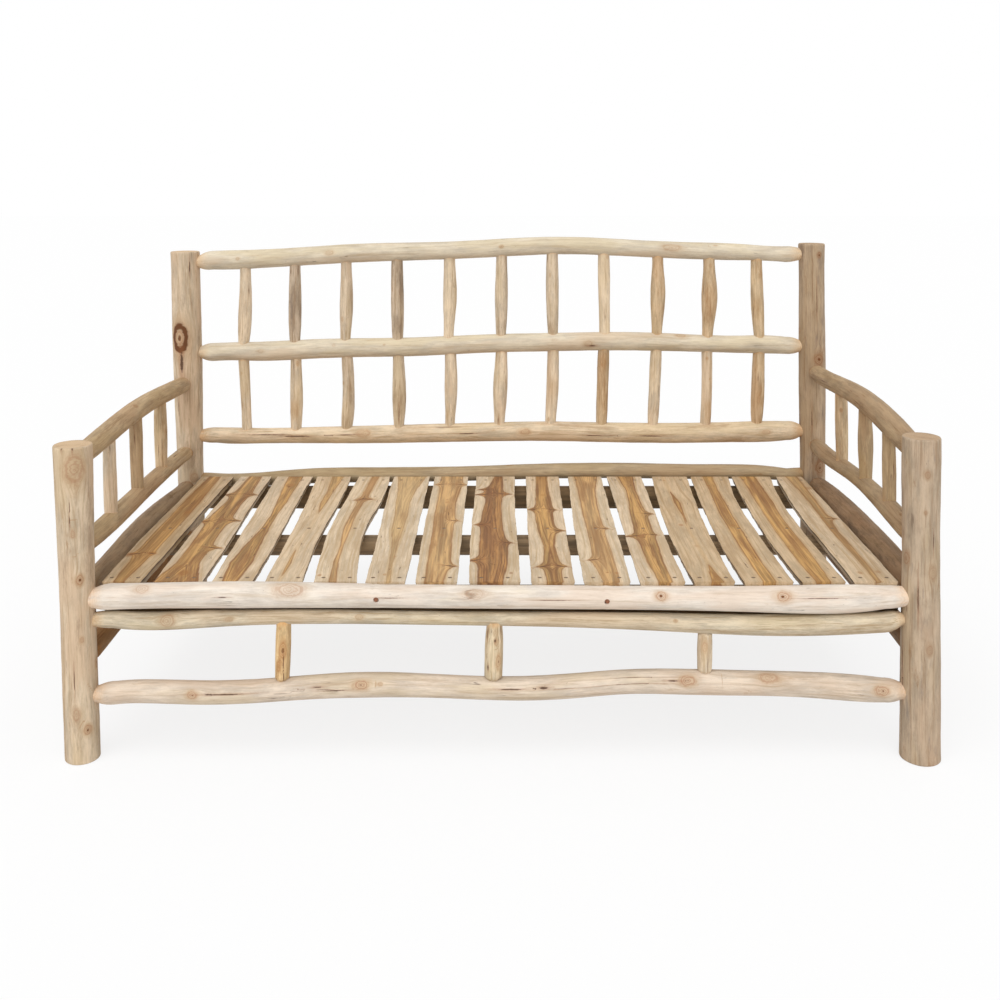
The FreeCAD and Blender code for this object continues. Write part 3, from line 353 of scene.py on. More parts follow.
def log_material(finish: LogFinish) -> Material:
    """Peeled branch wood: mottled, with fine streaks, stains, cracks, knots and end grain.

    Args:
        finish: Tone of the wood.

    Returns:
        The material.
    """
    graph = Surface(finish.name)
    grain = graph.attribute("grain", "Vector")
    base, power, amount = finish.base, finish.streak_contrast, finish.stain_amount
    streak = graph.noise(grain, (4, 120, 120), 6.0, 0.75)
    fibre = graph.noise(grain, (16, 430, 430), 4.0, 0.7)
    mottle = graph.noise(grain, (11, 46, 46), 6.0, 0.7)
    hue = graph.noise(grain, (3.4, 16, 16), 4.0)
    patch = graph.noise(grain, (6, 32, 32), 7.0, 0.72)
    blotch = graph.noise(grain, (13, 55, 55), 6.0, 0.74)
    colour = graph.layers(linear(toned(base, 1 - 0.1 * power)), (
        (mottle, toned(base, 1 + 0.07 * power), 0.34, 0.66),
        (hue, toned(base, 1.0, 0.96, 0.93), 0.49, 0.64, 0.8),
        (hue, toned(base, 0.99, 0.97, 0.9), 0.5, 0.36, 0.6),
        (streak, toned(base, 0.84, 0.78, 0.7), 0.5, 0.66, 0.75 * power),
        (streak, toned(base, 1.08, 1.07, 1.05), 0.46, 0.34, 0.5 * power),
        (patch, finish.stain, 0.52, 0.67, amount),
        (blotch, toned(base, 0.8, 0.67, 0.5), 0.58, 0.72, 0.85 * amount)))
    stained = graph.product(graph.attribute("stain"), graph.fade(patch, 0.4, 0.6, 0.6, 0.1), clamp=True)
    colour = graph.mix(stained, colour, linear(toned(finish.stain, 1.0, 0.95, 0.87)))
    colour = graph.layers(colour, (
        (fibre, toned(base, 0.72, 0.65, 0.57), 0.5, 0.7, 0.3 * power),
        (fibre, toned(base, 1.1, 1.09, 1.07), 0.46, 0.32, 0.35 * power)))

    line = graph.fade(graph.off(graph.noise(grain, (2.2, 70, 70), 3.0, 0.5), 0.5), 0.012, 0.002)
    where = graph.fade(graph.noise(grain, (9, 24, 24), 3.0), 0.63, 0.69)
    crack = graph.product(graph.product(line, where), CRACK_SHARE)
    speck = graph.fade(graph.noise(grain, (120, 420, 420), 2.0), 0.72, 0.78, 0.45)
    nick = graph.fade(graph.noise(grain, (28, 150, 150), 2.0), 0.735, 0.79, 0.4)
    dark = graph.math("MAXIMUM", crack, graph.math("MAXIMUM", speck, nick))
    colour = knotted(graph, graph.mix(dark, colour, linear(CRACK_BROWN)), grain, base)

    _, across, upward = graph.add("ShaderNodeSeparateXYZ", {0: grain}).outputs
    radius = graph.sum(graph.math("POWER", across, 2.0), graph.math("POWER", upward, 2.0))
    wobble = graph.product(graph.noise(grain, (20, 60, 60), 3.0), 0.005)
    spread = graph.sum(graph.math("SQRT", radius), wobble)
    rings = graph.math("SINE", graph.product(spread, 1900.0))
    cut = graph.math("SINE", graph.product(spread, 4800.0))
    nose = graph.attribute("nose")
    for share, rgb in ((graph.fade(mottle, 0.38, 0.54, 0.85, 0.3), toned(base, 1.04, 0.95, 0.85)),
                       (graph.fade(cut, 0.2, 1.0, 0.35), toned(base, 0.9, 0.74, 0.58))):
        colour = graph.mix(graph.product(nose, share), colour, linear(rgb))
    end_grain = graph.layers(linear(toned(base, 1.04, 1.0, 0.94)), (
        (rings, toned(base, 0.86, 0.78, 0.68), -0.6, 0.9, 0.4),
        (patch, toned(base, 0.86, 0.8, 0.74), 0.5, 0.66, 0.5)))
    colour = graph.mix(graph.attribute("end"), colour, end_grain)

    relief = graph.sum(graph.product(streak, 0.6), graph.product(fibre, 0.25))
    relief = graph.math("SUBTRACT", graph.sum(relief, graph.product(mottle, 1.4)), dark)
    feeds = {"Base Color": colour, "Roughness": graph.fade(patch, 0.3, 0.7, 0.8, 0.62),
             "Specular IOR Level": 0.25}
    return graph.finish(feeds, relief, 0.6, 0.002)


def board_material(finish: BoardFinish) -> Material:
    """Sawn board: pale sapwood round a streaky heart with a darker rim, and painted shade on its side faces.

    Args:
        finish: Tone of the board.

    Returns:
        The material.
    """
    graph = Surface(finish.name)
    grain = graph.attribute("grain", "Vector")
    depth = graph.attribute("heart")
    contrast = finish.heart_contrast
    along, _, upward = graph.add("ShaderNodeSeparateXYZ", {0: grain}).outputs
    flow = graph.add("ShaderNodeCombineXYZ", {0: along, 1: graph.product(depth, MM), 2: upward}).outputs[0]
    streak = graph.noise(flow, (2.6, 150, 60), 5.0, 0.68)
    fibre = graph.noise(grain, (9, 430, 300), 3.0, 0.65)
    mottle = graph.noise(grain, (8, 40, 40), 6.0, 0.7)
    grime = graph.noise(grain, (3, 16, 16), 5.0, 0.7)
    sap = graph.layers(linear(toned(finish.sap, 0.92)), (
        (mottle, toned(finish.sap, 1.05), 0.36, 0.64),
        (streak, toned(finish.sap, 0.86, 0.8, 0.7), 0.49, 0.66, 0.7),
        (grime, toned(finish.sap, 0.88, 0.84, 0.78), 0.5, 0.64, 0.6)))

    veins = graph.noise(flow, (2.4, 260, 60), 4.0, 0.62)
    band = graph.noise(flow, (1.6, 75, 30), 3.0, 0.55)
    cloud = graph.noise(grain, (3.6, 24, 24), 4.0, 0.6)
    flame = graph.noise(grain, (3.5, 60, 40), 4.0, 0.62)
    bright, cool = 1 + 0.15 * contrast, 1 + 0.12 * contrast
    heart = graph.layers(linear(toned(finish.heart, 1 - 0.12 * contrast)), (
        (flame, toned(finish.heart, bright, bright, cool), 0.38, 0.6),
        (band, finish.rim, 0.5, 0.62, 0.6),
        (cloud, finish.rim, 0.49, 0.64, 0.75),
        (veins, toned(finish.rim, 0.86, 0.81, 0.76), 0.51, 0.68, 0.6 * contrast),
        (veins, toned(finish.heart, 1.14, 1.16, 1.16), 0.47, 0.36, 0.35)))

    ragged = graph.product(graph.centred(graph.noise(grain, (16, 200, 60), 3.0)), 7.0)
    inner = graph.sum(depth, ragged)
    colour = graph.mix(graph.fade(inner, -1.5, 2.0), sap, heart)
    rim = toned(finish.rim, 0.92, 0.86, 0.8)
    colour = graph.layers(colour, ((graph.off(inner, 1.2), rim, 2.6, 0.4, 0.55),))
    glow = graph.product(graph.fade(inner, -9.0, -1.0, 0.28), graph.fade(inner, 0.0, -1.0))
    colour = graph.mix(glow, colour, linear(toned(finish.heart, 1.1, 1.08, 1.0)))
    colour = graph.layers(colour, ((fibre, toned(finish.sap, 0.7, 0.62, 0.54), 0.36, 0.76, 0.3),))
    nick = graph.fade(graph.noise(grain, (22, 170, 60), 2.0), 0.7, 0.76, 0.7)
    colour = graph.mix(nick, colour, linear(CRACK_BROWN))
    colour = knotted(graph, colour, grain, toned(finish.heart, 1.05))
    # Painted shade: the side faces between the slats are laid over with near-black brown
    colour = graph.layers(colour, ((graph.attribute("side"), SIDE_SHADE_BROWN, 0.0, 1.0, 0.93),))
    relief = graph.math("SUBTRACT", graph.sum(streak, graph.product(fibre, 0.4)), nick)
    feeds = {"Base Color": colour, "Roughness": 0.66, "Specular IOR Level": 0.22}
    return graph.finish(feeds, relief, 0.35, 0.001)


def bearer_material(name: str, rgb: Rgb) -> Material:
    """Plain streaky wood for CAD pieces that run along X.

    Args:
        name: Name of the material.
        rgb: Colour on screen.

    Returns:
        The material.
    """
    graph = Surface(name)
    place = graph.add("ShaderNodeTexCoord").outputs["Object"]
    streak = graph.noise(place, (4, 110, 110), 4.0, 0.6)
    patch = graph.noise(place, (6, 30, 30), 4.0)
    colour = graph.layers(linear(toned(rgb, 0.82)), ((streak, toned(rgb, 1.08), 0.34, 0.66),
                                                     (patch, toned(rgb, 0.66), 0.52, 0.7, 0.6)))
    feeds = {"Base Color": colour, "Roughness": 0.75, "Specular IOR Level": 0.25}
    return graph.finish(feeds, streak, 0.35, 0.001)


def steel_material(name: str, rgb: Rgb, roughness: float, metallic: float) -> Material:
    """Material of one colour, with its roughness and its share of bare metal."""
    feeds = {"Base Color": linear(rgb), "Roughness": roughness, "Metallic": metallic}
    return Surface(name).finish(feeds)


@cache
def wood(tone: LogTone | BoardTone) -> Material:
    """Material of a branch or slat, made once for each tone."""
    make = log_material if isinstance(tone, LogTone) else board_material
    return make(tone.value)


# Shapes read from the CAD nodes


class Run(Enum):
    """Axis along which a branch runs, with the directions of turn 0 and turn 90 degrees."""

    X = (0, (0.0, -1.0, 0.0), (0.0, 0.0, 1.0))
    Y = (1, (1.0, 0.0, 0.0), (0.0, 0.0, 1.0))
    Z = (2, (0.0, -1.0, 0.0), (1.0, 0.0, 0.0))

    def __init__(self, axis: int, face: Triple, side: Triple) -> None:
        """Keep the axis' number and both directions."""
        self.axis = axis
        self.face, self.side = np.array(face), np.array(side)


def corners(mesh: bpy.types.Mesh) -> np.ndarray:
    """Vertices of a mesh.

    Args:
        mesh: The mesh.

    Returns:
        Coordinates, one vertex to a row.
    """
    points = np.empty(len(mesh.vertices) * 3)
    mesh.vertices.foreach_get("co", points)
    return points.reshape(-1, 3)


class Sections:
    """Cuts a CAD node's mesh with planes square to one axis."""

    def __init__(self, node: str, axis: int) -> None:
        """Read the node's edges.

        Args:
            node: Name of the CAD node.
            axis: Number of the axis.
        """
        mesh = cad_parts[node].data
        edges = np.empty(len(mesh.edges) * 2, int)
        mesh.edges.foreach_get("vertices", edges)
        ends = corners(mesh)[edges.reshape(-1, 2)]
        self.first, self.second = ends[:, 0], ends[:, 1]
        self.low, self.high = ends[:, :, axis].min(axis=1), ends[:, :, axis].max(axis=1)
        self.axis = axis

    def hit(self, place: float) -> np.ndarray:
        """Which of the edges cross the plane at this place."""
        return (self.low <= place) & (self.high > place)

    def at(self, place: float) -> np.ndarray:
        """Points where the mesh's edges cross one plane.

        Args:
            place: Coordinate of the plane.

        Returns:
            Crossing points, one to a row.
        """
        hit = self.hit(place)
        first, second = self.first[hit], self.second[hit]
        span = second[:, self.axis] - first[:, self.axis]
        share = ((place - first[:, self.axis]) / span)[:, None]
        return first + (second - first) * share

    def spans(self, step: float = 0.002) -> list[list[float]]:
        """Stretches of the axis that hold a solid.

        Args:
            step: Distance between the planes that are tried.

        Returns:
            Start and end of each stretch.
        """
        found: list[list[float]] = []
        for place in np.arange(self.low.min() + 1e-4, self.high.max(), step):
            if not self.hit(place).any():
                continue
            if found and place - found[-1][1] < step * 1.5:
                found[-1][1] = place
            else:
                found.append([place, place])
        return found


def fit_circle(points: np.ndarray) -> tuple[float, float, float, bool]:
    """Circle through most of the points, whatever holes are cut in it.

    Args:
        points: Points in the plane, one to a row.

    Returns:
        Centre, radius, and whether the fit is sound.
    """
    fewest, rounds, failed = 8, 6, (0.0, 0.0, 0.0, False)
    most_misses, least_miss = 2.5, 0.0002
    if len(points) < fewest:
        return failed
    kept = points
    for _ in range(rounds):
        system = np.column_stack([kept * 2, np.ones(len(kept))])
        answer = np.linalg.lstsq(system, (kept ** 2).sum(1), rcond=None)[0]
        centre = answer[:2]
        radius = math.sqrt(max(answer[2] + (centre ** 2).sum(), 1e-9))
        miss = np.abs(np.linalg.norm(points - centre, axis=1) - radius)
        near = miss < max(np.median(miss) * most_misses, least_miss)
        if near.sum() < fewest:
            return failed
        kept = points[near]
    sound = np.median(miss[near]) < radius * 0.01 and len(kept) > len(points) * 0.5
    return centre[0], centre[1], radius, bool(sound)


def end_dense(start: float, end: float, step: float) -> np.ndarray:
    """Places along a run, closer together at both ends.

    Args:
        start: First place.
        end: Last place.
        step: Usual distance.

    Returns:
        The places in order.
    """
    near = np.array([0.0, 0.0006, 0.0014, 0.0024, 0.0036, 0.005, 0.0075])
    clear = 0.011
    inner = np.arange(start + clear, end - clear, step)
    return np.concatenate([start + near, inner, (end - near)[::-1]])


# Distance between the places at which a branch is read
READ_STEP = 0.006


@dataclass
class LogLine:
    """Centre line and radius of a branch along its run."""

    run: Run
    places: np.ndarray
    centres: np.ndarray
    radii: np.ndarray

    @classmethod
    def read(cls, node: str, run: Run) -> "list[LogLine]":
        """Lines of all the branches in one CAD node, from low to high.

        Args:
            node: Name of the CAD node.
            run: Their run.

        Returns:
            The lines.
        """
        cuts = Sections(node, run.axis)
        across = np.column_stack([run.face, run.side])
        lines = []
        for start, end in cuts.spans():
            places = end_dense(start, end, READ_STEP)
            table = np.array([fit_circle(cuts.at(place) @ across) for place in places], float)
            sound = table[:, 3] > 0.5
            values = [np.interp(places, places[sound], table[sound, column]) for column in range(3)]
            lines.append(cls(run, places, np.column_stack(values[:2]), values[2]))
        return lines

    def at(self, places: np.ndarray) -> tuple[np.ndarray, np.ndarray]:
        """Centres, in the run's cross directions, and radii at some places."""
        centres = [np.interp(places, self.places, self.centres[:, column]) for column in range(2)]
        return np.column_stack(centres), np.interp(places, self.places, self.radii)


def chance(name: str) -> np.random.Generator:
    """Random numbers that are the same for a name on every run.

    Args:
        name: Name of the piece.

    Returns:
        The generator.
    """
    seed, factor, limit = 0, 131, 1000003
    for letter in name:
        seed = (seed * factor + ord(letter)) % limit
    return np.random.default_rng(seed)


# Surfaces


def finish_surface(piece: Object) -> None:
    """Merge doubles, turn the faces outward, and shade smooth but for the creases.

    Args:
        piece: The object.
    """
    bpy.context.view_layer.objects.active = piece
    piece.select_set(True)
    bpy.ops.object.mode_set(mode="EDIT")
    bpy.ops.mesh.select_all(action="SELECT")
    bpy.ops.mesh.remove_doubles(threshold=MERGE_REACH)
    bpy.ops.mesh.normals_make_consistent(inside=False)
    bpy.ops.mesh.faces_shade_smooth()
    bpy.ops.mesh.select_all(action="DESELECT")
    bpy.ops.mesh.select_mode(type="EDGE")
    bpy.ops.mesh.edges_select_sharp(sharpness=math.radians(CREASE))
    bpy.ops.mesh.mark_sharp()
    bpy.ops.object.mode_set(mode="OBJECT")
    piece.select_set(False)


def roll(name: str, rings: np.ndarray) -> Object:
    """Closed piece from rings of points: a grid is rolled up and its seam and poles are merged.

    Args:
        name: Name of the piece.
        rings: Points by station, then round the ring, then coordinate.

    Returns:
        The new object, with smooth faces and sharp creases.
    """
    stations, around = rings.shape[:2]
    bpy.ops.object.select_all(action="DESELECT")
    bpy.ops.mesh.primitive_grid_add(x_subdivisions=around, y_subdivisions=stations - 1)
    piece = bpy.context.object
    piece.name = name
    piece.data.name = name
    wrapped = np.concatenate([rings, rings[:, :1]], axis=1)
    piece.data.vertices.foreach_set("co", wrapped.ravel())
    finish_surface(piece)
    return piece


def drill(piece: Object, holes: list[Hole]) -> None:
    """Cut round holes.

    Args:
        piece: The object.
        holes: Middle of each hole, its direction, its diameter and its length.
    """
    bpy.ops.object.select_all(action="DESELECT")
    cutters = []
    for middle, way, diameter, length in holes:
        turn = way.to_track_quat("Z", "Y").to_euler()
        bpy.ops.mesh.primitive_cylinder_add(vertices=HOLE_SIDES, radius=diameter / 2, depth=length,
                                            location=middle, rotation=turn)
        cutters.append(bpy.context.object)
    for cutter in cutters:
        cutter.select_set(True)
    bpy.context.view_layer.objects.active = cutters[0]
    bpy.ops.object.join()
    bpy.ops.object.transform_apply(location=True, rotation=True, scale=True)
    cutter = bpy.context.object
    bpy.context.view_layer.objects.active = piece
    cut = piece.modifiers.new("holes", "BOOLEAN")
    cut.operation = "DIFFERENCE"
    cut.solver = "EXACT"
    cut.object = cutter
    bpy.ops.object.modifier_apply(modifier=cut.name)
    bpy.data.objects.remove(cutter, do_unlink=True)
    finish_surface(piece)


def write_attribute(piece: Object, name: str, values: np.ndarray) -> None:
    """Store one value or vector for each vertex.

    Args:
        piece: The object.
        name: Name of the attribute.
        values: One number, or three numbers, to a vertex.
    """
    kind, key = ("FLOAT_VECTOR", "vector") if values.ndim == 2 else ("FLOAT", "value")
    layer = piece.data.attributes.new(name, kind, "POINT")
    layer.data.foreach_set(key, values.astype(np.float32).ravel())


def wear(mesh: bpy.types.Mesh, material: Material) -> None:
    """Give a mesh one material in place of any other."""
    mesh.materials.clear()
    mesh.materials.append(material)


def hand_over(piece: Object, node: str) -> None:
    """Let a piece stand for its CAD node, and log it.

    Args:
        piece: The object.
        node: Name of the CAD node.
    """
    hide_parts(node)
    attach(piece, "root")
    log.info("%s: %d points", piece.name, len(piece.data.vertices))


# Knots, cracks and stains


@dataclass(frozen=True)
class Knot:
    """A knot or crack: place along the run in metres, turn round it in degrees, half width."""

    place: float
    turn: float
    radius: float
    shade: float = 0.6
    stretch: float = 1.25
    swell: float = 0.0008
    bold: float = 0.0
    crack: bool = False


def gash(place: float, turn: float, length: float, width: float) -> Knot:
    """A crack along the grain, with half its length and half its width."""
    return Knot(place, turn, width, 1.0, length / width, 0.0, crack=True)


@dataclass(frozen=True)
class Stain:
    """A soft brown patch: share of the way along, turn in degrees, half length as a share.

    The width is half its angle round the branch, in degrees.
    """

    share: float
    turn: float
    reach: float
    width: float = 50.0

    def at(self, share: np.ndarray, turn: np.ndarray) -> np.ndarray:
        """Strength of the patch, from 0 to 1, at shares of the way along and turns in radians."""
        aside = (np.degrees(turn) - self.turn + 180) % 360 - 180
        return np.exp(-((share - self.share) / self.reach) ** 4 - (aside / self.width) ** 4)


# Knot widths beyond which a knot shows nothing
FAR = 6.0

# How much longer than wide the grain's bend round a knot is, and how much of the knot it clears
BEND_STRETCH, BEND_SHARE = 2.2, 0.85


@dataclass
class KnotField:
    """What the knots do at each point: nearness, darkness and the grain's step aside."""

    knot: np.ndarray
    gash: np.ndarray
    shade: np.ndarray
    bold: np.ndarray
    aside: np.ndarray

    @classmethod
    def none(cls, count: int) -> "KnotField":
        """Field of this many points without any knot."""
        return cls(*np.full((2, count, 3), FAR), *np.zeros((3, count)))

    @classmethod
    def round(cls, knots: Sequence[Knot], along: np.ndarray, turn: np.ndarray,
              radius: np.ndarray) -> "KnotField":
        """Field of the knots of a round branch.

        Args:
            knots: The knots.
            along: Place of each point.
            turn: Turn of each point, in radians.
            radius: Radius of the branch there.

        Returns:
            The field, its step aside in metres round the branch.
        """
        found = cls.none(len(along))
        for knot in knots:
            turned = turn - math.radians(knot.turn)
            across = np.arctan2(np.sin(turned), np.cos(turned)) * radius
            found.add(knot, along - knot.place, across)
        return found

    def add(self, knot: Knot, away: np.ndarray, across: np.ndarray) -> None:
        """Take one knot in.

        Args:
            knot: The knot.
            away: Distance of each point from it along the grain.
            across: Distance across the grain.
        """
        place = np.column_stack([away / (knot.radius * knot.stretch), across / knot.radius,
                                 np.zeros(len(away))])
        size = np.linalg.norm(place, axis=1)
        layer = self.gash if knot.crack else self.knot
        closer = (size < np.linalg.norm(layer, axis=1)) & (size < FAR)
        layer[closer] = place[closer]
        if knot.crack:
            return
        self.shade[closer] = knot.shade
        self.bold[closer] = knot.bold
        distance = (away / BEND_STRETCH) ** 2 + across ** 2
        self.aside -= across * BEND_SHARE * knot.radius ** 2 / np.maximum(distance, knot.radius ** 2)

    def write(self, piece: Object) -> None:
        """Store the field on a piece."""
        for name in ("knot", "gash", "shade", "bold"):
            write_attribute(piece, name, getattr(self, name))


# Pieces

# Rows of CAD node, tone and knots
Pieces = tuple[tuple[str, LogTone, tuple[Knot, ...]], ...]

# Sizes of the spindles in the back and the arms
SPINDLE = {"uneven": 0.07, "step": 0.0045, "around": 36, "nose": 0.008}


@dataclass
class Branch:
    """One peeled branch that takes the place of a CAD node's solid."""

    name: str
    node: str
    line: LogLine
    tone: LogTone
    knots: tuple[Knot, ...] = ()
    uneven: float = 0.035
    step: float = 0.005
    around: int = 56
    stray_knots: int = 3
    capped: bool = False
    nose: float = 0.035
    stains: Sequence[Stain] = ()
    sawn_depth: float = 0.0002
    sawn_share: float = 0.93

    @classmethod
    def single(cls, node: str, run: Run, tone: LogTone, knots: tuple[Knot, ...] = (),
               **sizes: float) -> "Branch":
        """Branch named after the CAD node that holds it alone, with some of its sizes."""
        return cls(f"{node}_wood", node, LogLine.read(node, run)[0], tone, knots, **sizes)

    def add_strays(self) -> None:
        """Add a few small knots and cracks at places that depend on the name alone."""
        dice = chance(self.name)
        first, last = self.line.places[0], self.line.places[-1]
        girth = float(np.median(self.line.radii))
        for _ in range(self.stray_knots):
            place = first + (last - first) * dice.uniform(0.06, 0.94)
            radius = girth * dice.uniform(0.08, 0.2)
            knot = Knot(place, dice.uniform(-180, 180), radius, dice.uniform(0.3, 0.8),
                        dice.uniform(1.1, 2.0), radius * 0.12)
            place = first + (last - first) * dice.uniform(0.06, 0.94)
            crack = gash(place, dice.uniform(-180, 180), girth * dice.uniform(0.3, 1.4),
                         dice.uniform(0.0006, 0.0014))
            self.knots += (knot, crack)

    def swell(self, along: np.ndarray, turn: np.ndarray, radius: np.ndarray) -> np.ndarray:
        """Uneven girth as a factor that never passes one, and the knots' bumps.

        Args:
            along: Place of each point.
            turn: Turn of each point, in radians.
            radius: Radius there.

        Returns:
            Radius of the uneven surface.
        """
        dice = chance(self.name + " girth")
        wave = np.zeros_like(along)
        for lobes, weight in ((2, 0.55), (3, 0.4), (5, 0.2), (7, 0.12)):
            pace, phase = dice.uniform(-9, 9), dice.uniform(*PHASES)
            wave += weight * np.sin(lobes * turn + pace * along + phase)
        for length, weight in ((0.31, 0.35), (0.12, 0.3), (0.047, 0.2)):
            wave += weight * np.sin(along * TURN / length + dice.uniform(*PHASES)
                                    + 1.5 * np.sin(turn + dice.uniform(*PHASES)))
        surface = radius * (1 - self.uneven * (0.5 + 0.5 * np.tanh(wave)))
        for knot in self.knots:
            if knot.swell > 0:
                near = np.linalg.norm(KnotField.round([knot], along, turn, radius).knot, axis=1)
                surface = surface + knot.swell * np.exp(-(near / 1.2) ** 2)
        return surface

    def rings(self) -> np.ndarray:
        """Rings of surface points with closed ends.

        Returns:
            Points by station, then round the ring, then coordinate.
        """
        run = self.line.run
        places = end_dense(self.line.places[0], self.line.places[-1], self.step)
        centres, radii = self.line.at(places)
        turns = np.linspace(0, 2 * math.pi, self.around, endpoint=False)
        along = np.repeat(places, self.around)
        turn = np.tile(turns, len(places))
        surface = self.swell(along, turn, np.repeat(radii, self.around)).reshape(-1, self.around)
        wide = surface[:, :, None] * (np.cos(turns)[None, :, None] * run.face
                                      + np.sin(turns)[None, :, None] * run.side)
        middle = centres[:, :1] * run.face + centres[:, 1:] * run.side
        middle[:, run.axis] = places
        shares = (0.0, 0.2, 0.4, 0.6, 0.8, 0.94) if self.capped else (0.0, 0.6)
        start = [middle[0] + wide[0] * share for share in shares]
        end = [middle[-1] + wide[-1] * share for share in reversed(shares)]
        return np.concatenate([np.array(start), middle[:, None, :] + wide, np.array(end)])

    def make(self, slot: str, shape: Callable[[np.ndarray], np.ndarray] | None = None,
             cut: Callable[[Object], None] | None = None) -> None:
        """Build the piece, give it its wood and let it ride the bench.

        Args:
            slot: Not used.
            shape: Function that trims the rings, or None.
            cut: Function that cuts the piece, or None.
        """
        self.add_strays()
        rings = self.rings()
        piece = roll(self.name, shape(rings) if shape else rings)
        if cut:
            cut(piece)
        self.paint(piece)
        hand_over(piece, self.node)

    def paint(self, piece: Object) -> None:
        """Write the grain, knot and end-grain attributes and set the material.

        Args:
            piece: The object.
        """
        run = self.line.run
        points = corners(piece.data)
        along = points[:, run.axis]
        centres, radii = self.line.at(along)
        across = points @ run.face - centres[:, 0]
        upward = points @ run.side - centres[:, 1]
        turn = np.arctan2(upward, across)
        radius = np.hypot(across, upward)
        found = KnotField.round(self.knots, along, turn, radii)
        to_end = np.minimum(along - along.min(), along.max() - along)
        sawn = ((to_end < self.sawn_depth) & (radius < radii * self.sawn_share)).astype(float)
        bent = turn + found.aside / radii * (1 - sawn)
        offset = chance(self.name + " grain").uniform(*GRAIN_SHIFTS)
        found.knot[sawn > 0] = FAR
        found.gash[sawn > 0] = FAR
        found.write(piece)
        share = (along - along.min()) / (along.max() - along.min())
        stain = sum((patch.at(share, turn) for patch in self.stains), np.zeros(len(along)))
        nose = np.clip(1.5 - to_end / self.nose, 0, 1) * (not self.capped)
        grain = np.column_stack([along + offset, radius * np.cos(bent), radius * np.sin(bent)])
        for name, values in (("grain", grain), ("end", sawn), ("stain", stain), ("nose", nose)):
            write_attribute(piece, name, values)
        wear(piece.data, wood(self.tone))


@dataclass
class Posts:
    """The four posts, with their large knots."""

    pieces: Pieces = (
        ("front_left_post", LogTone.POST, (
            Knot(0.684, 24, 0.020, 0.6, 1.5), Knot(0.433, 30, 0.007, 0.9, 1.4),
            Knot(0.081, 39, 0.008, 0.85, 1.4), gash(0.572, 5, 0.012, 0.0012),
            Knot(0.294, 30, 0.004, 0.6, 1.6), gash(0.735, -12, 0.008, 0.002),
            gash(0.735, 20, 0.01, 0.0016), gash(0.20, 2, 0.03, 0.0011))),
        ("front_right_post", LogTone.POST_GREY, (
            Knot(0.674, -2, 0.006, 0.65, 1.3), Knot(0.589, -7, 0.003, 0.7, 1.3),
            Knot(0.45, 18, 0.009, 0.35, 1.6), Knot(0.275, 7, 0.007, 0.6, 1.6),
            gash(0.389, -28, 0.035, 0.0013), gash(0.52, 20, 0.02, 0.001))),
        ("back_left_post", LogTone.POST, (
            Knot(0.839, -14, 0.024, 0.8, 1.75, 0.001, 1.0), gash(0.766, -9, 0.036, 0.0058),
            Knot(0.41, 30, 0.01, 0.6), gash(1.05, 32, 0.02, 0.002), gash(0.62, -30, 0.03, 0.0014))),
        ("back_right_post", LogTone.POST_BROWN, (
            Knot(1.086, 20, 0.006, 0.9), Knot(0.772, 17, 0.013, 1.0, 1.4),
            Knot(0.444, 20, 0.013, 0.9, 1.6), gash(0.589, -17, 0.03, 0.0014), gash(0.95, 8, 0.05, 0.001))))

    def build(self) -> None:
        """Build the posts."""
        for node, tone, knots in self.pieces:
            Branch.single(node, Run.Z, tone, knots, uneven=0.03, step=0.006, around=72,
                          stray_knots=4, capped=True).make("post")


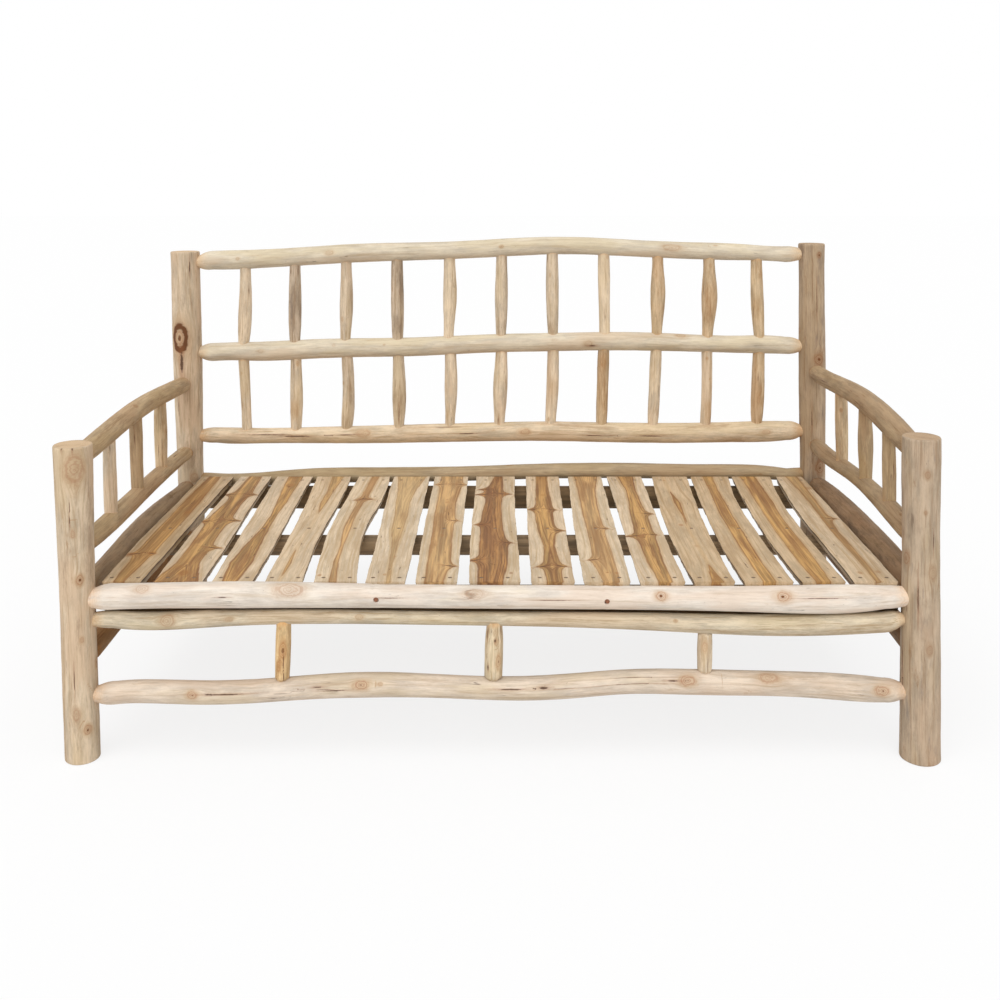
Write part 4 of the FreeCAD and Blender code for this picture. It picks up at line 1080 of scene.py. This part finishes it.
@dataclass
class FrontFrame:
    """Seat log, upper rail, stretcher and the three short spindles between them."""

    rebate_half: float = 0.9165
    rebate_gap: float = 0.002
    counterbore: float = 0.0124
    counterbore_length: float = 0.0508
    counterbore_middle: float = 0.02
    off_axis: float = 0.0005
    thick_from: float = -0.56
    thick_fade: float = 0.16
    thick_rise: float = 0.005
    thick_reach: float = 0.012
    pieces: Pieces = (
        ("seat_front_log", LogTone.SEAT_LOG, (
            Knot(0.3555, 30, 0.009, 0.9, 1.2), Knot(-0.4757, 45, 0.0145, 0.6, 2.0),
            Knot(-0.059, 34, 0.011, 0.45, 2.2), Knot(0.6274, 32, 0.010, 0.9, 1.5),
            gash(0.71, 24, 0.045, 0.0009), Knot(-0.8056, 52, 0.010, 0.5, 1.6),
            gash(-0.62, 10, 0.012, 0.0012), gash(-0.25, 12, 0.03, 0.0007), gash(0.12, 6, 0.04, 0.0007))),
        ("front_upper_rail", LogTone.FRONT_RAIL, (
            Knot(-0.75, 25, 0.011, 0.6, 1.3), Knot(-0.32, 20, 0.005, 0.6, 1.8),
            Knot(0.39, 30, 0.003, 0.8, 1.3), Knot(-0.61, 12, 0.004, 0.5, 2.0))),
        ("front_stretcher", LogTone.STRETCHER, (
            Knot(-0.696, 12, 0.0085, 0.8, 1.3), Knot(-0.316, 24, 0.0095, 0.95, 1.5),
            Knot(0.4195, 30, 0.010, 0.9, 1.5), Knot(0.604, 50, 0.011, 0.6, 1.9),
            Knot(0.858, 20, 0.010, 0.85, 1.5), gash(-0.622, 14, 0.05, 0.0017),
            gash(-0.662, 15, 0.008, 0.0024), gash(-0.415, 22, 0.012, 0.0016),
            gash(-0.375, 2, 0.03, 0.0012), gash(0.02, 20, 0.032, 0.0018), gash(0.095, 24, 0.012, 0.003),
            gash(0.31, 44, 0.085, 0.0006), gash(0.305, 14, 0.08, 0.0006), gash(0.385, 28, 0.014, 0.002))),
        ("front_spindle_left", LogTone.OCHRE, (
            Knot(0.262, 8, 0.007, 0.8, 2.6), Knot(0.225, -24, 0.005, 0.7, 2.2),
            gash(0.235, 14, 0.018, 0.0011), gash(0.20, 20, 0.012, 0.001))),
        ("front_spindle_middle", LogTone.STUB, (
            Knot(0.238, 32, 0.006, 0.8, 2.6), gash(0.222, -38, 0.008, 0.002), gash(0.286, 5, 0.004, 0.002))),
        ("front_spindle_right", LogTone.PALE, (
            Knot(0.27, -10, 0.006, 0.5, 2.0), gash(0.23, 15, 0.02, 0.0008))))

    def rebated(self, rings: np.ndarray) -> np.ndarray:
        """Plane the seat log's back flat and sink the rebate for the slats' ends.

        Args:
            rings: Rings of the round log.

        Returns:
            Rings of the trimmed log.
        """
        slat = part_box("slat_08")[0]
        rings[:, :, 1] = np.minimum(rings[:, :, 1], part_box("front_ledger")[0].y)
        inside = (np.abs(rings[:, :, 0]) < self.rebate_half) & (rings[:, :, 1] > slat.y - self.rebate_gap)
        rings[:, :, 2] = np.where(inside, np.minimum(rings[:, :, 2], slat.z), rings[:, :, 2])
        return rings

    def thickened(self, rings: np.ndarray) -> np.ndarray:
        """Thicken the upper rail's left end on top, up to the seam under the seat log.

        Args:
            rings: Rings of the even rail.

        Returns:
            Rings of the thickened rail.
        """
        share = np.clip((self.thick_from - rings[:, :, 0]) / self.thick_fade, 0, 1)
        share = share * share * (3 - 2 * share)
        above = rings[:, :, 2] - rings[:, :, 2].mean(axis=1, keepdims=True)
        rings[:, :, 2] += self.thick_rise * share * np.clip(above / self.thick_reach, 0, 1)
        return rings

    def bore(self, piece: Object) -> None:
        """Sink the counterbores of the two long screws.

        Args:
            piece: The seat log.
        """
        low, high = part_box("seat_log_screws")
        inward = (high.z - low.z) / 2
        cuts = Sections("seat_log_screws", 0)
        holes = []
        for x in (low.x + inward, high.x - inward):
            levels = cuts.at(x + self.off_axis)[:, 2]
            middle = Vector((x, low.y - self.counterbore_middle, (levels.min() + levels.max()) / 2))
            holes.append((middle, Vector((0, 1, 0)), self.counterbore, self.counterbore_length))
        drill(piece, holes)

    def build(self) -> None:
        """Build the front."""
        shapes = {"seat_front_log": self.rebated, "front_upper_rail": self.thickened}
        for node, tone, knots in self.pieces:
            if "spindle" in node:
                run, sizes = Run.Z, {"uneven": 0.06, "step": 0.004, "around": 40, "nose": 0.008}
            else:
                run, sizes = Run.X, {"uneven": 0.014, "nose": 0.03}
            branch = Branch.single(node, run, tone, knots, stray_knots=2, **sizes)
            branch.make("log", shapes.get(node), self.bore if node == "seat_front_log" else None)


@dataclass
class BackFrame:
    """Three back rails, the seat's back rail and eleven columns of spindles."""

    rails: Pieces = (
        ("back_top_rail", LogTone.BACK_RAIL, (
            Knot(-0.51, 15, 0.007, 0.5, 1.5), Knot(-0.78, 10, 0.004, 0.6),
            Knot(0.507, 20, 0.009, 0.55, 2.6), Knot(0.0, 10, 0.004, 0.8))),
        ("back_middle_rail", LogTone.BACK_RAIL, (
            Knot(0.26, -5, 0.008, 0.55, 1.5), Knot(-0.35, 25, 0.0025, 0.6),
            Knot(0.54, 60, 0.008, 0.45, 1.8), gash(0.272, -20, 0.014, 0.003),
            Knot(-0.72, 10, 0.005, 0.4, 1.6))),
        ("back_low_rail", LogTone.LOW_RAIL, (
            Knot(0.07, 10, 0.008, 0.7, 1.8), gash(-0.62, 6, 0.05, 0.0022), gash(-0.47, 12, 0.03, 0.0014),
            gash(-0.1, 5, 0.03, 0.0016), gash(0.28, -8, 0.03, 0.0014), gash(0.45, -5, 0.04, 0.0018),
            gash(-0.72, 20, 0.05, 0.0012), Knot(0.80, 10, 0.006, 0.6, 1.8),
            Knot(-0.42, 20, 0.010, 0.6, 2.0))),
        ("seat_back_rail", LogTone.SEAT_BACK, ()))
    # Lower and upper length of each column from the left: its tone and its stains
    columns: tuple[tuple[tuple, tuple], ...] = (
        (("PALE",), ("PALE",)),
        (("PALE", Stain(0.3, -10, 0.12)), ("GREY", Stain(0.55, 30, 0.3))),
        (("PALE_GREY", Stain(0.1, 0, 0.12), Stain(0.5, 40, 0.2)), ("PALE_GREY", Stain(0.6, 35, 0.25))),
        (("PALE_GREY", Stain(0.35, -20, 0.15)), ("GREY", Stain(0.7, 25, 0.28), Stain(0.2, 20, 0.12))),
        (("PALE",), ("PALE",)),
        (("PALE",), ("PALE_GREY",)),
        (("PALE", Stain(0.5, 25, 0.1)), ("PALE_GREY", Stain(0.1, 0, 0.09))),
        (("TAN", Stain(0.4, 0, 0.35, 90), Stain(0.85, 0, 0.1)), ("PALE",)),
        (("PALE",), ("TAN", Stain(0.3, 25, 0.12))),
        (("PALE", Stain(0.2, 10, 0.15)), ("TAN", Stain(0.5, 10, 0.3))),
        (("TAN", Stain(0.45, 10, 0.2, 90), Stain(0.8, -20, 0.08)), ("TAN", Stain(0.4, -20, 0.15))))

    def build(self) -> None:
        """Build the back."""
        for node, tone, knots in self.rails:
            Branch.single(node, Run.X, tone, knots).make("log")
        for number, column in enumerate(self.columns, start=1):
            node = f"back_spindle_pair_{number:02d}"
            for level, line, (tone, *stains) in zip(("lower", "upper"), LogLine.read(node, Run.Z), column):
                Branch(f"back_{level}_spindle_{number:02d}_wood", node, line, LogTone[tone],
                       stray_knots=2, stains=stains, **SPINDLE).make("log")


@dataclass
class Sides:
    """Arm rails, arm spindles and the lower side rails at both ends."""

    # Node, with a gap for the side, and the tones of the left and the right one
    rails: tuple[tuple[str, LogTone, LogTone], ...] = (
        ("arm_top_rail_{}", LogTone.ARM, LogTone.ARM_BROWN),
        ("arm_low_rail_{}", LogTone.ARM, LogTone.ARM_BROWN),
        ("seat_side_rail_{}", LogTone.SIDE_LEFT, LogTone.SIDE_GREY),
        ("low_side_rail_{}", LogTone.SIDE, LogTone.SIDE_GREY))
    spindles: tuple[tuple[str, LogTone, LogTone], ...] = (
        ("arm_spindle_{}_rear", LogTone.TAN, LogTone.TAN),
        ("arm_spindle_{}_middle", LogTone.ARM, LogTone.ARM),
        ("arm_spindle_{}_front", LogTone.PALE, LogTone.ARM))

    def build(self) -> None:
        """Build both ends."""
        for rows, run, sizes in ((self.rails, Run.Y, {"around": 52, "stray_knots": 5}),
                                 (self.spindles, Run.Z, SPINDLE)):
            for column, side in enumerate(("left", "right"), start=1):
                for row in rows:
                    Branch.single(row[0].format(side), run, row[column], **sizes).make("log")


# Seat


@dataclass(frozen=True)
class Heart:
    """Heartwood of one slat, in millimetres of the bench's frame.

    Left and right are the heart's edges from the front to the back. A thorn is the height up the
    slat, its side and how far out it reaches. A spot is a knot's place, radius and shade.
    """

    tone: BoardTone
    left: tuple[float, ...]
    right: tuple[float, ...]
    thorns: tuple[tuple[float, int, float], ...] = ()
    spots: tuple[tuple[float, float, float, float], ...] = ()

    def edge(self, side: int, y: float | np.ndarray) -> float | np.ndarray:
        """Place across of the left or right edge, at one or more places along."""
        return np.interp(y, HEART_LINES, self.left if side == LEFT else self.right)


# Sides of a heart
LEFT, RIGHT = -1, 1

# Lines across the slats, from the front to the back, at which the hearts' edges are given
HEART_LINES = (-442, -320, -200, -80, 40, 160, 280, 430)

# Slats 1, 12, 13 and 14 take the amber tone, which holds painted shade from the side rails
HEARTS = (
    Heart(BoardTone.AMBER, (-878, -884, -890, -891, -890, -890, -888, -885),
          (-852, -846, -842, -842, -841, -842, -845, -850), ((-258, LEFT, -902), (-255, RIGHT, -838)),
          ((-898, -262, 7, 0.8), (-848, -255, 6, 0.75), (-851, 72, 6, 0.4), (-870, -80, 2.5, 0.5))),
    Heart(BoardTone.BROWN, (-790, -770, -771, -776, -781, -772, -768, -764),
          (-686, -714, -718, -720, -720, -722, -718, -725),
          ((238, LEFT, -801), (238, RIGHT, -696), (-6, LEFT, -799), (0, RIGHT, -686), (-215, RIGHT, -684)),
          ((-757, -350, 6, 0.3), (-733, -388, 9, 0.6), (-785, -8, 7, 0.5))),
    Heart(BoardTone.BROWN, (-633, -644, -636, -624, -621, -627, -637, -645),
          (-597, -589, -597, -601, -604, -600, -600, -600), (),
          ((-622, 335, 9, 0.45), (-612, -60, 4, 0.5))),
    Heart(BoardTone.OCHRE, (-503, -507, -503, -497, -495, -505, -503, -512),
          (-503, -497, -503, -497, -495, -488, -484, -476)),
    Heart(BoardTone.GOLDEN, (-391, -399, -399, -409, -408, -403, -396, -391),
          (-373, -385, -390, -390, -391, -385, -376, -369), ((195, RIGHT, -360), (188, LEFT, -414)),
          ((-373, 192, 4, 0.4), (-418, -402, 3, 0.7))),
    Heart(BoardTone.PALE, (-262, -266, -271, -284, -286, -295, -300, -312),
          (-251, -256, -257, -254, -252, -255, -247, -226), (),
          ((-268, -398, 3, 0.6), (-256, -278, 2.5, 0.5))),
    Heart(BoardTone.GOLDEN, (-175, -176, -178, -177, -181, -180, -179, -181),
          (-130, -121, -122, -124, -124, -125, -119, -114),
          ((343, LEFT, -197), (341, RIGHT, -97), (0, RIGHT, -112), (-342, RIGHT, -102)),
          ((-150, 165, 4, 0.5), (-152, 190, 3, 0.45), (-152, -120, 5, 0.35))),
    Heart(BoardTone.DARK, (-54, -55, -55, -54, -53, -45, -42, -20), (4, 16, 16, 5, 1, 1, 6, 5),
          ((292, LEFT, -68), (240, LEFT, -79), (245, RIGHT, 34), (-33, LEFT, -72), (-176, RIGHT, 29),
           (-303, LEFT, -84)),
          ((22, -388, 3, 0.6), (-50, -35, 6, 0.5))),
    Heart(BoardTone.BROWN, (102, 99, 105, 94, 91, 96, 100, 105), (140, 138, 133, 140, 140, 142, 138, 140),
          ((98, LEFT, 66), (95, RIGHT, 153), (-82, RIGHT, 168), (-345, LEFT, 80), (-343, RIGHT, 158)),
          ((118, -60, 4, 0.4), (120, 235, 5, 0.35))),
    Heart(BoardTone.GOLDEN, (230, 217, 221, 221, 220, 221, 222, 221),
          (268, 270, 269, 265, 266, 268, 274, 292), ((-65, RIGHT, 280), (-300, LEFT, 204)),
          ((266, -388, 3, 0.7), (245, -385, 2.2, 0.8))),
    Heart(BoardTone.BROWN, (355, 346, 343, 343, 347, 356, 362, 352),
          (388, 386, 390, 391, 393, 392, 390, 400),
          ((60, RIGHT, 414), (-126, LEFT, 311), (-115, RIGHT, 399)), ((355, -125, 6, 0.4),)),
    Heart(BoardTone.AMBER, (474, 488, 488, 485, 487, 484, 488, 490),
          (503, 488, 488, 485, 493, 501, 489, 490), (),
          ((471, -36, 4, 0.6), (488, 388, 3, 0.4), (483, -200, 4, 0.25))),
    Heart(BoardTone.AMBER, (590, 588, 588, 590, 590, 596, 604, 610),
          (622, 618, 620, 622, 623, 628, 630, 641), (), ((612, 330, 3, 0.7), (606, -40, 6, 0.35))),
    Heart(BoardTone.AMBER, (710, 705, 705, 705, 709, 714, 719, 725),
          (745, 749, 752, 750, 752, 761, 765, 770), (), ((708, -205, 3, 0.4),)),
    Heart(BoardTone.OCHRE, (846, 849, 849, 849, 855, 861, 863, 861),
          (859, 864, 867, 869, 879, 885, 892, 898), ((18, RIGHT, 897),),
          ((828, -386, 4, 0.6), (872, -380, 4, 0.5), (898, 305, 7, 0.5))),
)


@dataclass
class Slat:
    """One sawn slat in the place of its CAD node."""

    number: int
    heart: Heart
    step: float = 0.0035
    hole: float = 0.0099
    hole_length: float = 0.0034
    screw_apart: float = 0.012
    screw_reach: float = 0.0095
    unevenness: float = 0.0009
    thinnest_heart: float = 3.0
    thorn_length: float = 12.6
    trace_length: float = 14.0
    trace_width: float = 2.8
    trace_slant: float = 0.35
    end_line: float = 0.0008
    end_inset: float = 0.0003
    inner_from: float = 0.003
    inner_to: float = 0.002
    face_reach: float = 0.008
    # Depth in from the edges and drop below the top of the side faces that get painted shade
    side_depth: float = 0.0012
    side_drop: float = 0.0015
    head_layer: float = 0.0001

    def __post_init__(self) -> None:
        """Read the CAD slat: its box, the lines across it and its edges there."""
        self.node = f"slat_{self.number:02d}"
        self.low, self.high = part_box(self.node)
        front, back = self.low.y, self.high.y
        inner = np.arange(front + self.inner_from, back - self.inner_to, self.step)
        self.places = np.concatenate([[front, front + self.end_line], inner, [back - self.end_line, back]])
        self.edges = self.read_edges()

    def read_edges(self) -> np.ndarray:
        """Edges of the slat, with small natural unevenness on top.

        Returns:
            Top left, top right, bottom left and bottom right x at each line.
        """
        cuts = Sections(self.node, 1)
        middle = (self.low.z + self.high.z) / 2
        rows = []
        for place in np.clip(self.places, self.low.y + self.end_inset, self.high.y - self.end_inset):
            points = cuts.at(place)
            top = points[points[:, 2] > middle + self.face_reach, 0]
            bottom = points[points[:, 2] < middle - self.face_reach, 0]
            rows.append((top.min(), top.max(), bottom.min(), bottom.max()))
        edges = np.array(rows)
        dice = chance(f"slat {self.number}")
        for column, inward in ((0, 1), (1, -1)):
            wave = np.zeros(len(self.places))
            for length, weight in ((0.21, 0.9), (0.09, 0.5), (0.037, 0.25)):
                wave += weight * np.sin(self.places * TURN / length + dice.uniform(*PHASES))
            edges[:, column] += inward * self.unevenness * (1 + np.tanh(wave))
        return edges

    def rings(self) -> np.ndarray:
        """Rings of the slat's surface with closed ends.

        Returns:
            Points by line, then round the section, then coordinate.
        """
        top = [(share, 1.0) for share in np.linspace(0.022, 0.978, 37)]
        right = [(0.994, 0.965), (1.0, 0.88), (1.0, 0.5), (1.0, 0.1), (0.994, 0.02)]
        bottom = [(share, 0.0) for share in np.linspace(0.97, 0.03, 8)]
        left = [(0.006, 0.02), (0.0, 0.1), (0.0, 0.5), (0.0, 0.88), (0.006, 0.965)]
        across, up = np.array(top + right + bottom + left).T
        top_left, top_right, bottom_left, bottom_right = self.edges.T[:, :, None]
        left_x = bottom_left + (top_left - bottom_left) * up
        right_x = bottom_right + (top_right - bottom_right) * up
        x = left_x + (right_x - left_x) * across
        z = np.broadcast_to(self.low.z + (self.high.z - self.low.z) * up, x.shape)
        y = np.broadcast_to(self.places[:, None], x.shape)
        rings = np.stack([x, y, z], axis=2)
        middle = rings.mean(axis=1, keepdims=True)
        start = [middle[0] + (rings[0] - middle[0]) * share for share in (0.0, 0.6, 0.97)]
        end = [middle[-1] + (rings[-1] - middle[-1]) * share for share in (0.97, 0.6, 0.0)]
        return np.concatenate([np.array(start), rings, np.array(end)])

    def heart_depth(self, x: np.ndarray, y: np.ndarray) -> np.ndarray:
        """Depth of each point inside the heart, in millimetres, negative outside.

        Args:
            x: Place across, in millimetres.
            y: Place along, in millimetres.

        Returns:
            The depths.
        """
        left, right = self.heart.edge(LEFT, y), self.heart.edge(RIGHT, y)
        hollow = right - left < self.thinnest_heart
        for place, side, tip in self.heart.thorns:
            cusp = np.exp(-np.abs(y - place) / self.thorn_length)
            outward = (tip - self.heart.edge(side, place)) * cusp
            if side == LEFT:
                left = left + outward
            else:
                right = right + outward
        depth = np.minimum(x - left, right - x)
        return np.where(hollow, np.minimum(depth, (right - left) - self.thinnest_heart), depth)

    def knots(self, x: np.ndarray, y: np.ndarray) -> KnotField:
        """Field of the slat's knots, and of the dark traces that lead from the thorns' tips.

        Args:
            x: Place across, in millimetres.
            y: Place along, in millimetres.

        Returns:
            The field.
        """
        found = KnotField.none(len(x))
        for spot_x, spot_y, radius, shade in self.heart.spots:
            knot = Knot(spot_y * MM, 0.0, radius * MM, shade, 1.4)
            found.add(knot, y * MM - knot.place, (x - spot_x) * MM)
        for place, side, tip in self.heart.thorns:
            reach = (abs(tip - self.heart.edge(side, place)) + self.trace_length) / 2
            away = x - (tip - side * reach)
            trace = Knot(place * MM, 0.0, reach * MM, stretch=self.trace_width / reach, crack=True)
            found.add(trace, (y - place + away * side * self.trace_slant) * MM, away * MM)
        return found

    def paint(self, piece: Object) -> None:
        """Write the slat's attributes and set its material.

        Args:
            piece: The object.
        """
        x, y, z = corners(piece.data).T
        left, right = (np.interp(y, self.places, self.edges[:, column]) for column in (0, 1))
        found = self.knots(x / MM, y / MM)
        offset = chance(piece.name + " grain").uniform(*GRAIN_SHIFTS)
        grain = np.column_stack([y + offset, x - (left + right) / 2 + found.aside, z])
        # Side faces below the top, where the painted shade goes
        side = (np.minimum(x - left, right - x) < self.side_depth) & (z < z.max() - self.side_drop)
        found.write(piece)
        for name, values in (("grain", grain), ("heart", self.heart_depth(x / MM, y / MM)), ("side", side)):
            write_attribute(piece, name, values)
        wear(piece.data, wood(self.heart.tone))

    def screw_holes(self) -> list[Hole]:
        """Holes over the CAD screws that stand in the slat.

        Returns:
            Middle, direction, diameter and length of each hole.
        """
        points = corners(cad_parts["slat_screws"].data)
        top = points[points[:, 2] > points[:, 2].max() - self.head_layer]
        mine = top[(top[:, 0] > self.low.x) & (top[:, 0] < self.high.x)]
        holes: list[Hole] = []
        for x, y, _ in mine:
            if all(math.hypot(hole[0].x - x, hole[0].y - y) > self.screw_apart for hole in holes):
                near = mine[np.hypot(mine[:, 0] - x, mine[:, 1] - y) < self.screw_reach]
                centre = (near[:, :2].min(0) + near[:, :2].max(0)) / 2
                holes.append((Vector((*centre, self.high.z)), Vector((0, 0, 1)), self.hole, self.hole_length))
        return holes

    def build(self) -> None:
        """Build the slat."""
        piece = roll(f"{self.node}_board", self.rings())
        drill(piece, self.screw_holes())
        self.paint(piece)
        hand_over(piece, self.node)


@dataclass
class Seat:
    """Fifteen sawn slats with their hearts, the bearers under them and the screws."""

    hearts: tuple[Heart, ...] = HEARTS

    def build(self) -> None:
        """Build the slats and finish the CAD pieces under them."""
        for number, heart in enumerate(self.hearts, start=1):
            Slat(number, heart).build()
        middle = bearer_material("middle_bearer_wood", (144, 121, 93))
        under = bearer_material("bearer_wood", (122, 99, 70))
        steel = steel_material("screw_steel", (128, 104, 78), 0.5, 0.3)
        rusty = steel_material("rusty_screw_steel", (168, 112, 82), 0.6, 0.0)
        for node, material in (("middle_bearer", middle), ("rear_bearer", under), ("front_ledger", under),
                               ("slat_screws", steel), ("seat_log_screws", rusty)):
            wear(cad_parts[node].data, material)
            log.info("%s keeps its CAD shape", node)


# Studio


@dataclass
class Studio:
    """Camera, floor and soft light."""

    camera_place: Triple = (-0.0033, -2.8782, 1.3357)
    pitch: float = 6.63
    lens: float = 40.25
    sensor: float = 36.0
    shift: float = -0.2
    floor_size: float = 60.0
    floor_paint: Rgb = (238, 238, 238)
    floor_glow: float = 1.0
    floor_glow_share: float = 0.8
    world_strength: float = 0.60
    key_strength: float = 1.85
    key_place: Triple = (-1.2, -3.0, 4.2)
    key_spread: float = 60
    fill_strength: float = 0.5
    fill_place: Triple = (2.5, -3.5, 2.0)
    fill_spread: float = 90

    def camera(self) -> None:
        """Place the camera as the photo was taken."""
        bpy.ops.object.camera_add(location=self.camera_place,
                                  rotation=(math.radians(90 - self.pitch), 0, 0))
        camera = bpy.context.object
        camera.data.lens = self.lens
        camera.data.sensor_width = self.sensor
        camera.data.shift_y = self.shift
        camera.data.dof.use_dof = False
        bpy.context.scene.camera = camera
        bpy.context.scene.view_settings.view_transform = "Standard"

    def seen(self, graph: Graph) -> Socket:
        """One where a camera, glossy or transmission ray arrives, zero for all other rays."""
        rays = [graph.add("ShaderNodeLightPath").outputs[f"Is {kind} Ray"]
                for kind in ("Camera", "Glossy", "Transmission")]
        return graph.math("MAXIMUM", graph.math("MAXIMUM", rays[0], rays[1]), rays[2])

    def blend(self, graph: Graph, share: Socket, shaders: tuple[Socket, Socket], output: str) -> None:
        """Mix two shaders, with the second one's share, and feed the output node of this type."""
        mixed = graph.add("ShaderNodeMixShader", {0: share, 1: shaders[0], 2: shaders[1]})
        graph.add(output, {0: mixed.outputs[0]})

    def floor(self) -> None:
        """Lay a plain white floor that keeps the bench's shadow."""
        bpy.ops.mesh.primitive_plane_add(size=self.floor_size, location=(0, 0, 0))
        floor = bpy.context.object
        floor.name = "floor"
        material = bpy.data.materials.new("floor_paint")
        graph = Graph(material)
        paint = graph.add("ShaderNodeBsdfDiffuse", {"Color": linear(self.floor_paint, 1.0)}).outputs[0]
        glow = graph.add("ShaderNodeEmission", {"Strength": self.floor_glow}).outputs[0]
        share = graph.product(self.seen(graph), self.floor_glow_share)
        self.blend(graph, share, (paint, glow), "ShaderNodeOutputMaterial")
        floor.data.materials.append(material)

    def world(self) -> None:
        """Even soft light all round that shows as white behind the bench."""
        world = bpy.data.worlds.new("studio")
        bpy.context.scene.world = world
        graph = Graph(world)
        white_light = {"Color": (1, 1, 1, 1)}
        soft, white = (graph.add("ShaderNodeBackground", white_light | {"Strength": strength}).outputs[0]
                       for strength in (self.world_strength, 1.0))
        self.blend(graph, self.seen(graph), (soft, white), "ShaderNodeOutputWorld")

    def sun(self, name: str, place: Triple, strength: float, spread: float) -> None:
        """Add one broad far light that shines toward the bench.

        Args:
            name: Its name.
            place: Where it shines from.
            strength: Its strength.
            spread: Its angle in degrees.
        """
        turn = (-Vector(place)).to_track_quat("-Z", "Y").to_euler()
        bpy.ops.object.light_add(type="SUN", location=place, rotation=turn)
        light = bpy.context.object
        light.name = name
        light.data.energy = strength
        light.data.angle = math.radians(spread)

    def build(self) -> None:
        """Build the studio."""
        self.camera()
        self.floor()
        self.world()
        self.sun("key", self.key_place, self.key_strength, self.key_spread)
        self.sun("fill", self.fill_place, self.fill_strength, self.fill_spread)
        log.info("studio is ready")


def main() -> None:
    """Build the bench and the studio."""
    logging.basicConfig(level=logging.INFO, format="%(message)s")
    for part in (Posts(), FrontFrame(), BackFrame(), Sides(), Seat(), Studio()):
        part.build()


if __name__ == "__main__":
    main()
